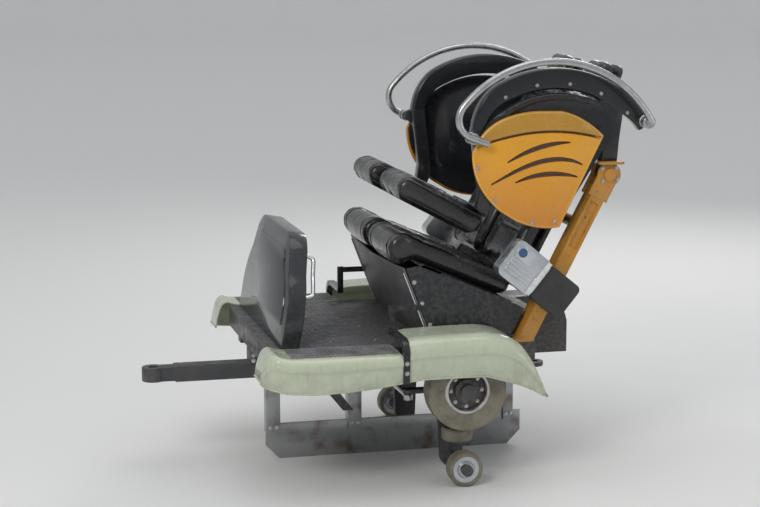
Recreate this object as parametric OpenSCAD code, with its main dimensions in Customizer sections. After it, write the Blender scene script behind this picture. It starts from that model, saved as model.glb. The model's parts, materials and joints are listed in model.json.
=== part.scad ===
// Two-seat roller coaster car of a trailed train, with over-shoulder arch restraints.
// Millimetres. The car heads along +X, its left side is +Y, the floor it parks on is z = 0.
// Inside the modules, x and h are measured from the middle of the road-wheel axle.

/* [Running gear] */
// Diameter of a road wheel
road_wheel_d = 330; // [310:1:400]
// Width of a road wheel
road_wheel_w = 90; // [70:1:100]
// Distance between the middles of the two rails
gauge = 1180; // [1100:1:1420]
// Diameter of an up-stop wheel
upstop_wheel_d = 145; // [120:1:160]
// Diameter of a guide wheel
guide_wheel_d = 130; // [110:1:140]
// Height of the rail between road wheel and up-stop wheel
rail_depth = 95; // [85:1:115]
// Radius of the road-wheel stub axle
stub_r = 26; // [20:0.5:30]
// Radius of the kingpin
kingpin_r = 16; // [12:0.5:20]
// Distance from the middle of a wheel in to its kingpin
kingpin_inset = 265; // [255:1:280]
// Gap between the top of the wheels and the floor of the car
floor_gap = 15; // [11:1:30]

/* [Chassis] */
// Distance from the axle to the coupling eye in front
tongue_reach = 1200; // [1100:1:1440]
// Distance from the axle back to the hitch bore
hitch_reach = 490; // [460:1:560]
// Radius of the coupling bores
coupling_bore_r = 20; // [15:0.5:24]
// Thickness of the coupling eye
eye_t = 60; // [40:1:72]
// Height of the chassis rails
rail_h = 100; // [80:1:110]
// Thickness of the brake fin
fin_t = 12; // [8:1:16]

/* [Body] */
// Reach of the fenders past the outer faces of the wheels
fender_over = 85; // [60:1:130]
// Thickness of the fender moulding
fender_t = 5; // [3:0.5:8]
// Rise of the rear fender's crown above the floor
crown_rise = 66; // [58:1:90]
// Height of the bulkhead above the floor
bulkhead_rise = 455; // [400:1:520]
// Thickness of the bulkhead's panel
bulkhead_t = 18; // [12:1:28]
// Depth of the bulkhead with the rim round its edge
bulkhead_rim = 76; // [50:1:90]

/* [Seats] */
// Recline of the seat backs from vertical
recline = 28; // [22:1:32]
// Upward tilt of the seat pan towards its front
pan_tilt = 24; // [18:1:28]
// Width of one seat cushion
seat_w = 410; // [340:1:495]
// Thickness of the seat cushions
cushion_t = 85; // [60:1:95]
// Length of the back cushions
back_len = 840; // [760:1:860]
// Thickness of the back cushions
back_t = 85; // [60:1:95]

/* [Restraints] */
// Gap between a seat and the restraint arm beside it
arm_gap = 10; // [8:1:20]
// Width of a restraint arm
arm_w = 58; // [48:1:70]
// Radius of the arch over the shoulder
arch_r = 470; // [450:1:490]
// Depth of the arch
arch_t = 88; // [60:1:100]
// Radius of the grab rail tube
rail_tube_r = 15; // [12:0.5:18]
// Radius of the arm's pivot bolt
pivot_r = 16; // [12:0.5:20]
// Thickness of the lap pads
lap_t = 105; // [80:1:110]
// Length of the lap pads
lap_len = 430; // [380:1:460]

/* [Hidden] */
seat_gap = 0.3;
bore_gap = 0.05;
// Reach of the boxes that trim a piece across the whole car
wide = 1000;

// Where the pivots of the restraints lie, from the axle
pivot_x = -636;
pivot_h = 855;

// Arch of the restraint arm: it starts at the front, heading up, and turns back over the shoulder
arch_start = [-81.5, 1049];
arch_heads = [95, 152, 236];
arch_front_r = 187;
arch_front_t = 60;
arch_front_c = turn_centre(arch_start, arch_heads[0], arch_front_r);
arch_knee = turn_end(arch_front_c, arch_heads[1], arch_front_r);
arch_c = turn_centre(arch_knee, arch_heads[1], arch_r);

// The car's ends, its middle and the height of its axle
front_tip = tongue_reach + 48;
rear_tip = arch_c[0] + (arch_r + arch_t / 2) * sin(arch_heads[2]);
car_mid = (front_tip + rear_tip) / 2;
axle_z = road_wheel_d / 2 + rail_depth + upstop_wheel_d;

road_y = gauge / 2;
road_in = road_y - road_wheel_w / 2;
kingpin_y = road_y - kingpin_inset;
upstop_h = -(road_wheel_d / 2 + rail_depth + upstop_wheel_d / 2);
guide_h = -(road_wheel_d / 2 + 47);
guide_y = road_y - 45 - guide_wheel_d / 2;
guide_w = 60;
upstop_w = 70;
plate_y = [guide_y - guide_wheel_d / 2 - 50, guide_y - guide_wheel_d / 2 - 15];
beam_r = 40;
eye_half = 49;
eye_r = plate_y[0] - 5 - kingpin_y;
ear_t = 18;
steer_arm = 170;
tie_h = -85;

// The body is drawn with its floor at 180 and raised by lift to clear the wheels
floor_h = 180;
floor_t = 12;
lift = road_wheel_d / 2 + floor_gap - floor_h;
crown_h = floor_h + crown_rise;
rail_y = [kingpin_y - 125, kingpin_y - 65];
rail_top = floor_h - floor_t - seat_gap;
rail_low = rail_top - rail_h;
frame_h = rail_low + lift;
strap_x = [266, 292];

// Half widths, from the seats outwards
seat_in = 26;
seat_out = seat_in + seat_w;
arm_y = seat_out + arm_gap + arm_w / 2;
tub_y = seat_out + 34;
body_y = tub_y + 19;
fender_y = road_y + road_wheel_w / 2 + fender_over;

// The restraint posts lean back from the frame to the pivots, whose ears hold the arms
post_foot = [-277, rail_top];
post_lean = atan2(post_foot[0] - pivot_x, pivot_h - post_foot[1]);
post_len = norm([post_foot[0] - pivot_x, pivot_h - post_foot[1]]);
ear_gap = 5;
ear_w = 11;
ear_y = [arm_y - arm_w / 2 - ear_gap, arm_y + arm_w / 2 + ear_gap];
post_y = [ear_y[0] - ear_w + 2, ear_y[1] + ear_w - 2];

// Where the seat back and the seat pan start: the shell's face and the cushion's top at its rear
back_o = [-425, 680];
pan_o = [-270, 412];
back_low = -300;
shell_t = 18;

// Arc points, from angle a0 to a1 about c
function arc(c, r, a0, a1, n = 8) =
    [for (i = [0 : n]) c + r * [cos(a0 + (a1 - a0) * i / n), sin(a0 + (a1 - a0) * i / n)]];
// Points of a smooth bend from a to b that leans on k
function bend(a, k, b, n = 8) =
    [for (i = [0 : n]) let (t = i / n) (1 - t) * (1 - t) * a + 2 * t * (1 - t) * k + t * t * b];
// A tube that turns left: the centre of its bend, and the point where the bend ends
function turn_centre(p, head, r) = p + r * [-sin(head), cos(head)];
function turn_end(c, head, r) = c + r * [sin(head), -cos(head)];

// A side-view outline, drawn as x and h, made a slab from y0 to y1
module side_slab(y0, y1) {
    translate([0, y1, 0]) rotate([90, 0, 0]) linear_extrude(y1 - y0) children();
}
// A front-view outline, drawn as y and h, made a bar from x0 to x1
module front_bar(x0, x1) {
    translate([x0, 0, 0]) rotate([90, 0, 90]) linear_extrude(x1 - x0) children();
}
module box(lo, hi) {
    translate(lo) cube(hi - lo);
}
// A round bar along Y at x, h
module cross_bar(x, h, r, y0, y1) {
    translate([x, y1, h]) rotate([90, 0, 0]) cylinder(h = y1 - y0, r = r, $fn = 48);
}
module post_bar(x, y, r, h0, h1) {
    translate([x, y, h0]) cylinder(h = h1 - h0, r = r, $fn = 48);
}
// Part of a ring in side view: its section is drawn about the middle of the tube
module bent(c, r, head0, head1) {
    translate([c[0], 0, c[1]]) rotate([90, 0, 0]) rotate([0, 0, head0 - 90])
        rotate_extrude(angle = head1 - head0, $fn = 96) translate([r, 0]) children();
}
module side(s) {
    mirror([0, s < 0 ? 1 : 0, 0]) children();
}
module both() {
    for (s = [1, -1]) side(s) children();
}
// The frame of the seat back: z runs up the back, x forward out of it
module on_back() {
    translate([back_o[0], 0, back_o[1]]) rotate([0, -recline, 0]) children();
}
// The frame of the seat pan: x runs forward along the cushion, z out of it
module on_pan() {
    translate([pan_o[0], 0, pan_o[1]]) rotate([0, -pan_tilt, 0]) children();
}
module round_rect(x0, x1, y0, y1, r) {
    polygon(concat(arc([x1 - r, y1 - r], r, 0, 90), arc([x0 + r, y1 - r], r, 90, 180),
        arc([x0 + r, y0 + r], r, 180, 270), arc([x1 - r, y0 + r], r, 270, 360)));
}

// Cross-members of the ladder frame: middle, width, half length
CROSS = [[post_foot[0] - 8, 80, post_y[1]], [-40, 60, road_in - 56], [280, 60, body_y], [760, 60, body_y]];
module chassis_frame() {
    rear_y = rail_y[1] + 40;
    color("#17191c") {
        both() box([-530, rail_y[0], rail_low], [790, rail_y[1], rail_top]);
        for (c = CROSS)
            box([c[0] - c[1] / 2, -c[2], rail_low + 20], [c[0] + c[1] / 2, c[2], rail_top]);
        difference() {
            front_bar(-540, -340) polygon([[-rear_y, rail_low], [rear_y, rail_low], [rear_y, 205],
                [rear_y - 30, 235], [30 - rear_y, 235], [-rear_y, 205]]);
            box([-600, -110, 0], [-440, 110, 300]);
            box([-600, -65, 0], [-390, 65, 120]);
        }
    }
}

module tongue() {
    color("#202327") difference() {
        union() {
            box([250, -35, -35], [tongue_reach - 30, 35, 35]);
            for (x = [280, 760])
                box([x - 30, -50, 30], [x + 30, 50, frame_h + 20 - seat_gap]);
            post_bar(tongue_reach, 0, 48, -eye_t / 2, eye_t / 2);
        }
        post_bar(tongue_reach, 0, coupling_bore_r, -eye_t, eye_t);
        for (s = [-1, 1])
            box([tongue_reach - 90, -60, s > 0 ? eye_t / 2 : -60], [tongue_reach, 60, s > 0 ? 60 : -eye_t / 2]);
    }
}

jaw_gap = eye_t + 12;
jaw_t = 20;
module rear_hitch() {
    color("#202327") difference() {
        union() {
            for (s = [-1, 1]) {
                h0 = s > 0 ? jaw_gap / 2 : -jaw_gap / 2 - jaw_t;
                post_bar(-hitch_reach, 0, 45, h0, h0 + jaw_t);
                box([-hitch_reach, -45, h0], [-395, 45, h0 + jaw_t]);
            }
            box([-425, -60, -jaw_gap / 2 - jaw_t], [-395, 60, frame_h - seat_gap]);
            box([-438, -90, frame_h - 16], [-342, 90, frame_h - seat_gap]);
        }
        post_bar(-hitch_reach, 0, coupling_bore_r, -100, 100);
    }
}

fin_x = [-430, 720];
fin_top = 155 - axle_z;
module brake_fin() {
    color("#8b8f92") {
        side_slab(-fin_t / 2, fin_t / 2)
            polygon([[fin_x[0] + 60, -axle_z], [fin_x[1] - 60, -axle_z], [fin_x[1], -axle_z + 60],
                [fin_x[1], fin_top], [fin_x[0], fin_top], [fin_x[0], -axle_z + 60]]);
        for (x = [330, 690])
            box([x - 30, -28, fin_top - 40], [x + 30, 28, -35 - seat_gap]);
        box([-390, -28, fin_top - 40], [-345, 28, frame_h - 16 - seat_gap]);
    }
}

dog_y = [rail_y[0] + 8, rail_y[1] - 8];
module antirollback_dog() {
    color("#2a2c2e") {
        for (y = [dog_y[0], dog_y[1] - 8])
            side_slab(y, y + 8) polygon([[440, rail_low - seat_gap], [560, rail_low - seat_gap],
                [530, -10], [470, -10]]);
        side_slab(dog_y[0] + 12, dog_y[1] - 12) polygon([[478, 30], [522, 30], [520, -40],
            [430, -150], [385, -150], [470, -40]]);
        cross_bar(500, 10, 12, dog_y[0] - 6, dog_y[1] + 6);
    }
}

module floor_pan() {
    color("#3a3c3e") box([calf_foot - 10 + seat_gap, -body_y, floor_h - floor_t], [790, body_y, floor_h]);
}

// Half the width of the bulkhead at its foot, its shoulder and its top
bulkhead_y = [body_y - 3, body_y + 5, body_y - 189];
bulkhead_rake = 10;
bulkhead_foot = 745;
bulkhead_shoulder = 150;
rim_t = 16;
// Half of its outline, inset by t
function bulkhead_half(t, low) = let (rise = bulkhead_rise - seat_gap - t, y = bulkhead_y)
    concat([[0, low], [y[0] - t, low]],
        bend([y[1] - t, bulkhead_shoulder - 40], [y[1] - t, bulkhead_shoulder + 60],
            [body_y - 89 - 0.8 * t, bulkhead_shoulder + 150 - 0.4 * t]),
        bend([y[2] + 50 - 0.8 * t, rise - 60], [y[2], rise], [y[2] - 70, rise]), [[0, rise]]);
module front_bulkhead() {
    foot = floor_h + seat_gap;
    color("#232628") difference() {
        translate([bulkhead_foot, 0, foot]) rotate([0, -bulkhead_rake, 0]) difference() {
            union() {
                both() front_bar(-bulkhead_rim, 0) polygon(bulkhead_half(0, -20));
                both() front_bar(-1, 7) polygon(bulkhead_half(70, 90));
            }
            both() front_bar(-bulkhead_rim - 1, -bulkhead_t) polygon(bulkhead_half(rim_t, -30));
        }
        box([0, -wide, foot - 100], [wide, wide, foot]);
    }
}

seat_front = [232, 488];
calf_foot = 112;
module seat_base() {
    side_outline = [[post_foot[0] + 49, floor_h - floor_t], [calf_foot - 10, floor_h - floor_t],
        [calf_foot - 10, floor_h], [seat_front[0] - 14, seat_front[1]], [140, 500], [-258, 318], [-290, 300]];
    color("#141517") {
        both() side_slab(tub_y - 14, tub_y) polygon(side_outline);
        side_slab(-8, 8) polygon(side_outline);
        on_pan() box([0, -tub_y, -cushion_t - 14], [430, tub_y, -cushion_t - seat_gap]);
    }
}

// Front of the seat box behind the riders' calves, folded to a ridge in the middle
module calf_panel() {
    rise = seat_front[1] - floor_h - seat_gap;
    lean = atan2(seat_front[0] - calf_foot, rise);
    ridge = 22;
    color("#55565a") difference() {
        translate([calf_foot, 0, floor_h]) rotate([0, lean, 0]) translate([0, 0, -30])
            linear_extrude(rise / cos(lean) + 30)
                polygon([[0, -tub_y], [ridge, 0], [0, tub_y], [-8, tub_y], [ridge - 8, 0], [-8, -tub_y]]);
        box([0, -wide, floor_h - 100], [400, wide, floor_h + seat_gap]);
    }
}

// Fender section and side outline, both drawn inset by t
front_top = floor_h + 2;
fender_in = body_y + seat_gap;
function front_section(t, low) = concat([[fender_in, low], [fender_y - 12 - t, low],
    [fender_y - 5 - t, front_top - 44]],
    arc([fender_y - 34, front_top - 34], 34 - t, 0, 90), [[fender_in, front_top - t]]);
function nose_outline(t, low) = concat([[strap_x[1] + seat_gap + t, low[0]], [580, low[1]]],
    [[780, low[1] + 6]],
    bend([838 - t, 66 + t], [858 - t, 84 + t], [848 - t, 120]),
    bend([836 - t, 150], [820 - t, front_top + 24 - t], [770, front_top + 10 - t]),
    [[640, front_top - t], [strap_x[1] + seat_gap + t, front_top - t]]);
module nose_plan(t) {
    polygon(concat([[strap_x[1], body_y], [strap_x[1], fender_y + 5], [660, fender_y + 5]],
        bend([680, fender_y - t], [838 - t, fender_y - 8 - t], [862 - t, fender_y - 120]),
        [[862 - t, body_y]]));
}
module front_fender_form(t, section_low, low) {
    intersection() {
        side_slab(body_y, fender_y + 10) polygon(nose_outline(t, low));
        front_bar(strap_x[1], 900) polygon(front_section(t, section_low));
        translate([0, 0, -200]) linear_extrude(600) nose_plan(t);
    }
}
module front_fender(s) {
    color("#c2c9b2") side(s) difference() {
        front_fender_form(0, -50, [68, 40]);
        front_fender_form(fender_t, -90, [-60, -60]);
        box([strap_x[1] - 10, body_y + 14, front_top - 3], [740, fender_y - 50, front_top + 30]);
    }
}

module treads() {
    color("#4a4b4e") both()
        box([strap_x[1] + 8, body_y + 16, front_top - 3 + seat_gap], [736, fender_y - 52, front_top + 3]);
}

crease_h = 180;
function rear_section(t, low) = concat([[fender_in, low], [fender_y - 10 - t, low],
    [fender_y - 5 - t, crease_h - 6], [fender_y - t, crease_h]],
    arc([fender_y - 70, crown_h + 4 - 70], 70 - t, 0, 90), [[fender_in, crown_h + 4 - t]]);
function tail_top(t) = concat([[strap_x[0] - seat_gap - t, crown_h - 8 - t]],
    bend([150, crown_h - t], [-60, crown_h + 4 - t], [-185, 214 - t]),
    bend([-205 + t, 200 - t], [-262 + t, 150], [-313 + t, -22]));
module rear_fender_form(t, section_low, edge) {
    intersection() {
        side_slab(body_y, fender_y + 10)
            polygon(concat(tail_top(t), edge, [[strap_x[0] - seat_gap - t, edge[len(edge) - 1][1]]]));
        front_bar(-400, strap_x[0]) polygon(rear_section(t, section_low));
    }
}
module rear_fender(s) {
    skirt_edge = concat(bend([-296, -14], [-230, 28], [-150, 50]), bend([-60, 76], [20, 80], [225, 78]),
        [[250, 72]]);
    color("#c2c9b2") side(s) difference() {
        rear_fender_form(0, -50, skirt_edge);
        rear_fender_form(fender_t, -90, [[-313, -90], [0, -90]]);
        box([-400, body_y, -60], [strap_x[0], body_y + 60, crown_h - 60]);
    }
}

// Bent flat bar over the joint of the two fenders, up the seat side
strap_t = 6;
module fender_straps() {
    top = crown_h - 8;
    color("#101113") both() front_bar(strap_x[0], strap_x[1]) difference() {
        union() {
            polygon(concat([[fender_y - 40, 66], [fender_y - 4, 66], [fender_y + 2, crease_h]],
                arc([fender_y - 62, top - 60], 66, 5, 90), [[fender_y - 40, top - 20]]));
            polygon([[tub_y + seat_gap, top - 20], [fender_y - 60, top - 20], [fender_y - 60, top + 6],
                [tub_y + 14, top + 6], [tub_y + 14, 340], [tub_y + seat_gap, 340]]);
            polygon([[fender_y - 80, 66], [fender_y - 30, 66], [fender_y - 30, top], [fender_y - 80, top]]);
        }
        polygon([[tub_y - 10, 40], [fender_y - 20, 40], [fender_y - 12, crease_h], [fender_y - 30, top - 30],
            [fender_y - 70, top - 12], [tub_y + 14, top - 12], [tub_y + 14, top - 30], [tub_y - 10, top - 30]]);
    }
}

// Shell behind both seats: outline in y and along the back
shell_y = seat_out + 2;
shell_top = 545;
head_top = 690;
head_w = 250;
module seat_back_shell() {
    seat_mid = seat_in + seat_w / 2;
    color("#101113") {
        on_back() {
            both() front_bar(-shell_t, 0) {
                round_rect(-4, shell_y, back_low - 40, shell_top, 90);
                round_rect(seat_mid - head_w / 2, seat_mid + head_w / 2, 300, head_top, 60);
                translate([-4, back_low - 40]) square([shell_y + 4, 300]);
            }
            both() for (u = [0, 60])
                box([-80.7, 180 + u * 2, -12], [-shell_t + 1, 192 + u * 2, 46]);
            both() for (y = [seat_mid - 110, seat_mid + 110])
                box([-shell_t - 16, y - 9, 80], [-shell_t + 1, y + 9, 470]);
            both() for (z = [-250, -150])
                box([-shell_t - 12, seat_in + 10, z], [-shell_t + 1, seat_out - 40, z + 16]);
        }
    }
}

module on_post() {
    translate([pivot_x, 0, pivot_h]) rotate([0, -post_lean, 0]) children();
}
module post(s) {
    y0 = ear_y[0];
    y1 = ear_y[1];
    color("#c8881c") side(s) {
        difference() {
            union() {
                on_post() box([-32, post_y[0], -post_len - 30], [32, post_y[1], -62]);
                for (y = [y0 - ear_w, y1])
                    side_slab(y, y + ear_w) translate([pivot_x, pivot_h]) {
                        circle(r = 50, $fn = 64);
                        rotate(post_lean) translate([-44, -110]) square([88, 110]);
                    }
                side_slab(y1 + 3, y1 + ear_w + 24)
                    round_rect(pivot_x - 56, pivot_x + 52, pivot_h + 44, pivot_h + 56, 5);
            }
            box([-700, 0, 0], [0, wide, rail_top + seat_gap]);
            on_post() box([-19, post_y[1] - 9, -340], [19, post_y[1] + 1, -130]);
        }
        cross_bar(pivot_x, pivot_h, pivot_r, y0 - ear_w - 5, y1 + ear_w + 10);
        cross_bar(pivot_x, pivot_h, 26, y1 + ear_w - 1, y1 + ear_w + 12);
        box([post_foot[0] - 46, arm_y - 35, rail_top + seat_gap],
            [post_foot[0] + 38, arm_y + 35, rail_top + 12]);
    }
}

module cross_tube() {
    end_y = post_y[0] - seat_gap;
    color("#c8881c") on_back() {
        cross_bar(-105, 18, 24, -end_y, end_y);
        both() cross_bar(-105, 18, 31, end_y - 9, end_y);
    }
}

roll_r = 65;
module seat_cushion(s) {
    color("#0c0d0f") side(s) on_pan() {
        box([0, seat_in, -cushion_t], [515, seat_out, 0]);
        cross_bar(515, -roll_r, roll_r, seat_in, seat_out);
    }
}

module back_cushion(s) {
    color("#0c0d0f") side(s) on_back()
        front_bar(seat_gap, back_t)
            round_rect(seat_in, seat_out, back_low, back_low + back_len, 60);
}

module headrest(s) {
    mid = seat_in + seat_w / 2;
    color("#0c0d0f") side(s) on_back()
        front_bar(seat_gap, 80) round_rect(mid - 110, mid + 110, 552, head_top - 4, 40);
}

// Side wing at the rider's shoulder: outline in side view, inset by t
wing_y = [arm_y + arm_w / 2 + 16, arm_y + arm_w / 2 + 24];
function wing_outline(t) = concat(
    bend([-420 - t, 645 + t], [-330, 630 + t], [-230, 676 + t]),
    bend([-163 - t, 718 + t], [-40 - t, 820 + t], [-42 - t, 962]),
    bend([-56 - t, 990 - t], [-120 - t, 1124 - t], [-330, 1126 - t]),
    bend([-420, 1124 - t], [-520, 1104 - t], [-606 + t, 1018]));
// Lower edge of the raised roll along the wing's top, and the grooves: start, lean, end, half width
roll_line = bend([-60, 986], [-330, 1090], [-600, 1008]);
GROOVES = [[[-206, 930], [-300, 1000], [-448, 996], 18], [[-188, 882], [-310, 950], [-514, 908], 20],
    [[-240, 836], [-350, 892], [-502, 852], 18]];
function crescent(g) = let (w = [0, g[3] / 2], low = reversed(bend(g[0], g[1] - w, g[2])))
    concat(bend(g[0], g[1] + w, g[2]), [for (i = [1 : len(low) - 2]) low[i]]);
module wing(s) {
    color("#e3a11f") side(s) {
        difference() {
            side_slab(wing_y[0], wing_y[1]) polygon(wing_outline(0));
            for (g = GROOVES)
                side_slab(wing_y[1] - 4, wing_y[1] + 1) polygon(crescent(g));
        }
        side_slab(wing_y[1] - 1, wing_y[1] + 14) intersection() {
            polygon(wing_outline(3));
            polygon(concat(roll_line, [[-700, 1008], [-700, 1200], [0, 1200], [0, 986]]));
        }
    }
}

// The liner behind the wing runs on up to the inside of the arch
liner_r = arch_r - arch_t / 2 - 12;
module wing_liner(s) {
    outline = concat(bend([-412, 655], [-330, 638], [-236, 684]), bend([-170, 726], [-50, 828], [-50, 962]),
        bend([-62, 990], [-92, 1070], [-160, 1120]), arc(arch_c, liner_r, 60, 116),
        bend([-606, 1132], [-640, 1096], [-646, 1052]), [[-640, 1000], [-606, 960]]);
    color("#0c0d0f") side(s) {
        side_slab(wing_y[0] - 9, wing_y[0] - seat_gap) polygon(outline);
        side_slab(wing_y[0] - seat_gap - 1, wing_y[0] + 10) difference() {
            polygon(outline);
            polygon(wing_outline(-4));
            polygon([[-700, 500], [100, 500], [100, 1125], [-160, 1125], [-560, 1080], [-700, 1040]]);
        }
        on_back() for (u = [-40, 120])
            box([-8, shell_y + seat_gap, u], [52, wing_y[0] - 8, u + 50]);
    }
}

// Lock housing on the outside of the post
lock_top = [-180, 550];
lock_end = [-450, 330];
lock_y = [post_y[1] + seat_gap, post_y[1] + 74];
lock_angle = atan2(lock_top[1] - lock_end[1], lock_top[0] - lock_end[0]);
lock_len = norm(lock_top - lock_end);
module on_lock() {
    translate([lock_end[0], 0, lock_end[1]]) rotate([0, -lock_angle, 0]) children();
}
module lock_housings() {
    joint = lock_len * 0.48;
    color("#c9ced3") both() on_lock() {
        side_slab(lock_y[0], lock_y[1]) round_rect(joint, lock_len, -85, 85, 30);
        side_slab(lock_y[1] - 1, lock_y[1] + 5) translate([joint + 5, -80]) square([20, 160]);
        for (b = [-62 : 17 : 6])
            side_slab(lock_y[1] - 1, lock_y[1] + 5)
                translate([joint + 36, b - 4]) square([lock_len * 0.52 - 58, 8]);
        side_slab(lock_y[1] - 1, lock_y[1] + 8) translate([lock_len - 42, 42]) circle(r = 24, $fn = 48);
    }
}
module lock_covers() {
    color("#26282b") both() on_lock()
        side_slab(lock_y[0], lock_y[1] - 6) round_rect(0, lock_len * 0.48 - seat_gap, -80, 80, 24);
}

// Half depth of the arch inside and outside its middle line, at a heading: it deepens over the front
// bend, and its inside runs out towards the tail
function ease(t) = t < 0 ? 0 : t > 1 ? 1 : t * t * (3 - 2 * t);
function arch_half(head, out) = (arch_front_t + (arch_t - arch_front_t) * ease((head - 100) / 70)) / 2
    - (out ? 0 : 22 * ease((head - 212) / 24));
function arch_edge(out) = let (k = out ? 1 : -1) concat(
    [for (i = [0 : 9]) let (a = arch_heads[0] + (arch_heads[1] - arch_heads[0]) * i / 10)
        turn_end(arch_front_c, a, arch_front_r + k * arch_half(a, out))],
    [for (i = [0 : 21]) let (a = arch_heads[1] + (arch_heads[2] - arch_heads[1]) * i / 21)
        turn_end(arch_c, a, arch_r + k * arch_half(a, out))]);
function reversed(line) = [for (i = [len(line) - 1 : -1 : 0]) line[i]];

// Restraint arm: pivot boss, rear leg, arch, front leg and the carrier of the lap pad
lap_o = [-163, 680];
lap_tilt = 28;
module on_lap() {
    translate([lap_o[0], 0, lap_o[1]]) rotate([0, -lap_tilt, 0]) children();
}
rail_link = [-40, 1020.7];
module arm(s) {
    y0 = arm_y - arm_w / 2;
    y1 = arm_y + arm_w / 2;
    rear_leg = [[pivot_x - 36, pivot_h], [pivot_x + 36, pivot_h], [-622, 1160], [-694, 1120]];
    front_leg = [[-52, 1049], [-110, 1049], [-142, 760], [-118, 700], [-72, 724], [-78, 800]];
    color("#0e0f11") side(s) difference() {
        union() {
            side_slab(y0, y1) polygon(concat(arch_edge(true), reversed(arch_edge(false))));
            side_slab(y0, y1) polygon(rear_leg);
            side_slab(y0, y1) polygon(front_leg);
            side_slab(y1 - 24, y1) polygon([[-70, 1052], [-104, 960], [-60, 990],
                rail_link + [14, -10], rail_link + [8, 18]]);
            cross_bar(pivot_x, pivot_h, 40, y0, y1);
            on_lap() box([40, 150, seat_gap], [110, y0 + 4, 12]);
        }
        cross_bar(pivot_x, pivot_h, pivot_r + bore_gap, y0 - 5, y1 + 5);
    }
}

// Grab rail: a straight tail, a tight bend at the front and a long bend over the arch
rail_y_mid = wing_y[1] + 44;
rail_front_r = 80;
rail_long_r = 490;
rail_heads = [20, 130, 242];
rail_front_c = [-53.3, 1101.6];
rail_knee = turn_end(rail_front_c, rail_heads[1], rail_front_r);
rail_c = turn_centre(rail_knee, rail_heads[1], rail_long_r);
rail_end = turn_end(rail_c, rail_heads[2], rail_long_r);
rail_start = turn_end(rail_front_c, rail_heads[0], rail_front_r);
rail_tail = 75;
module grab_rail(s) {
    color("#aeb2b5") side(s) {
        translate([0, rail_y_mid, 0]) {
            bent(rail_front_c, rail_front_r, rail_heads[0], rail_heads[1]) circle(r = rail_tube_r, $fn = 32);
            bent(rail_c, rail_long_r, rail_heads[1], rail_heads[2]) circle(r = rail_tube_r, $fn = 32);
            for (p = [rail_start, rail_knee])
                translate([p[0], 0, p[1]]) sphere(r = rail_tube_r + 1.5, $fn = 32);
            translate([rail_start[0], 0, rail_start[1]]) rotate([0, -90 - rail_heads[0], 0])
                cylinder(h = rail_tail, r = rail_tube_r, $fn = 32);
        }
        cross_bar(rail_link[0], rail_link[1], 17, arm_y + arm_w / 2 + seat_gap, rail_y_mid);
        cross_bar(rail_end[0] + 8, rail_end[1] + 4, 22, arm_y + arm_w / 2 + seat_gap, rail_y_mid + rail_tube_r);
    }
}

lap_y = [seat_in + 36, seat_out - 8];
module lap_pad(s) {
    color("#0c0d0f") side(s) on_lap()
        side_slab(lap_y[0], lap_y[1]) round_rect(0, lap_len, -lap_t, 0, 36);
}

module axle_beam() {
    color("#1c1e21") {
        box([-beam_r, -kingpin_y + 30, -beam_r], [beam_r, kingpin_y - 30, beam_r]);
        both() {
            difference() {
                post_bar(0, kingpin_y, eye_r, -eye_half, eye_half);
                post_bar(0, kingpin_y, kingpin_r + bore_gap, -eye_half - 5, eye_half + 5);
            }
            box([-45, rail_y[0] + 5, beam_r - 1], [45, rail_y[1] - 5, frame_h - seat_gap]);
        }
    }
}

module knuckle(s) {
    half = concat([[0, 72], [70, 72], [82, 50], [82, -50], [52, -200]],
        arc([0, upstop_h], 46, 0, -90), [[0, upstop_h - 46]]);
    color("#2b2e31") side(s) {
        difference() {
            side_slab(plate_y[0], plate_y[1]) {
                polygon(half);
                mirror([1, 0]) polygon(half);
            }
            cross_bar(0, -110, 26, plate_y[0] - 5, plate_y[1] + 5);
        }
        for (h = [eye_half + 1, -eye_half - 1 - ear_t])
            linear_ear(h);
        post_bar(0, kingpin_y, kingpin_r, -eye_half - ear_t - 8, eye_half + ear_t + 8);
        post_bar(0, kingpin_y, 26, eye_half + 1 + ear_t - 1, eye_half + 1 + ear_t + 6);
        cross_bar(0, 0, stub_r, plate_y[1] - 1, road_y + road_wheel_w / 2 + 16);
        cross_bar(0, 0, stub_r + 10, plate_y[1] - 1, road_in - 8);
        cross_bar(0, 0, stub_r + 6, road_y + road_wheel_w / 2 + 6, road_y + road_wheel_w / 2 + 18);
        cross_bar(0, upstop_h, 18, plate_y[1] - 1, road_y + upstop_w / 2 + 14);
        cross_bar(0, upstop_h, 26, plate_y[1] - 1, road_y - upstop_w / 2 - 6);
        cross_bar(0, upstop_h, 24, road_y + upstop_w / 2 + 6, road_y + upstop_w / 2 + 16);
        shelf_h = guide_h + guide_w / 2 + 6;
        box([-32, plate_y[1] - 1, shelf_h], [32, guide_y, shelf_h + 18]);
        post_bar(0, guide_y, 32, shelf_h, shelf_h + 18);
        side_rib(shelf_h + 17);
        post_bar(0, guide_y, 13, guide_h - guide_w / 2 - 16, shelf_h + 1);
        post_bar(0, guide_y, 22, guide_h - guide_w / 2 - 16, guide_h - guide_w / 2 - 6);
        box([-22, kingpin_y - 22, -eye_half - 1 - ear_t], [steer_arm, kingpin_y + 22, -eye_half - 1]);
        post_bar(steer_arm, kingpin_y, 22, -eye_half - 1 - ear_t, -eye_half - 1);
        post_bar(steer_arm, kingpin_y, 8, tie_h - 22, -eye_half - 2);
    }
}
module linear_ear(h) {
    post_bar(0, kingpin_y, 40, h, h + ear_t);
    box([-40, kingpin_y, h], [40, plate_y[0] + 1, h + ear_t]);
}
module side_rib(h) {
    front_bar(-7, 7) polygon([[plate_y[1] - 1, h], [guide_y, h], [plate_y[1] - 1, h + 70]]);
}

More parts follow.
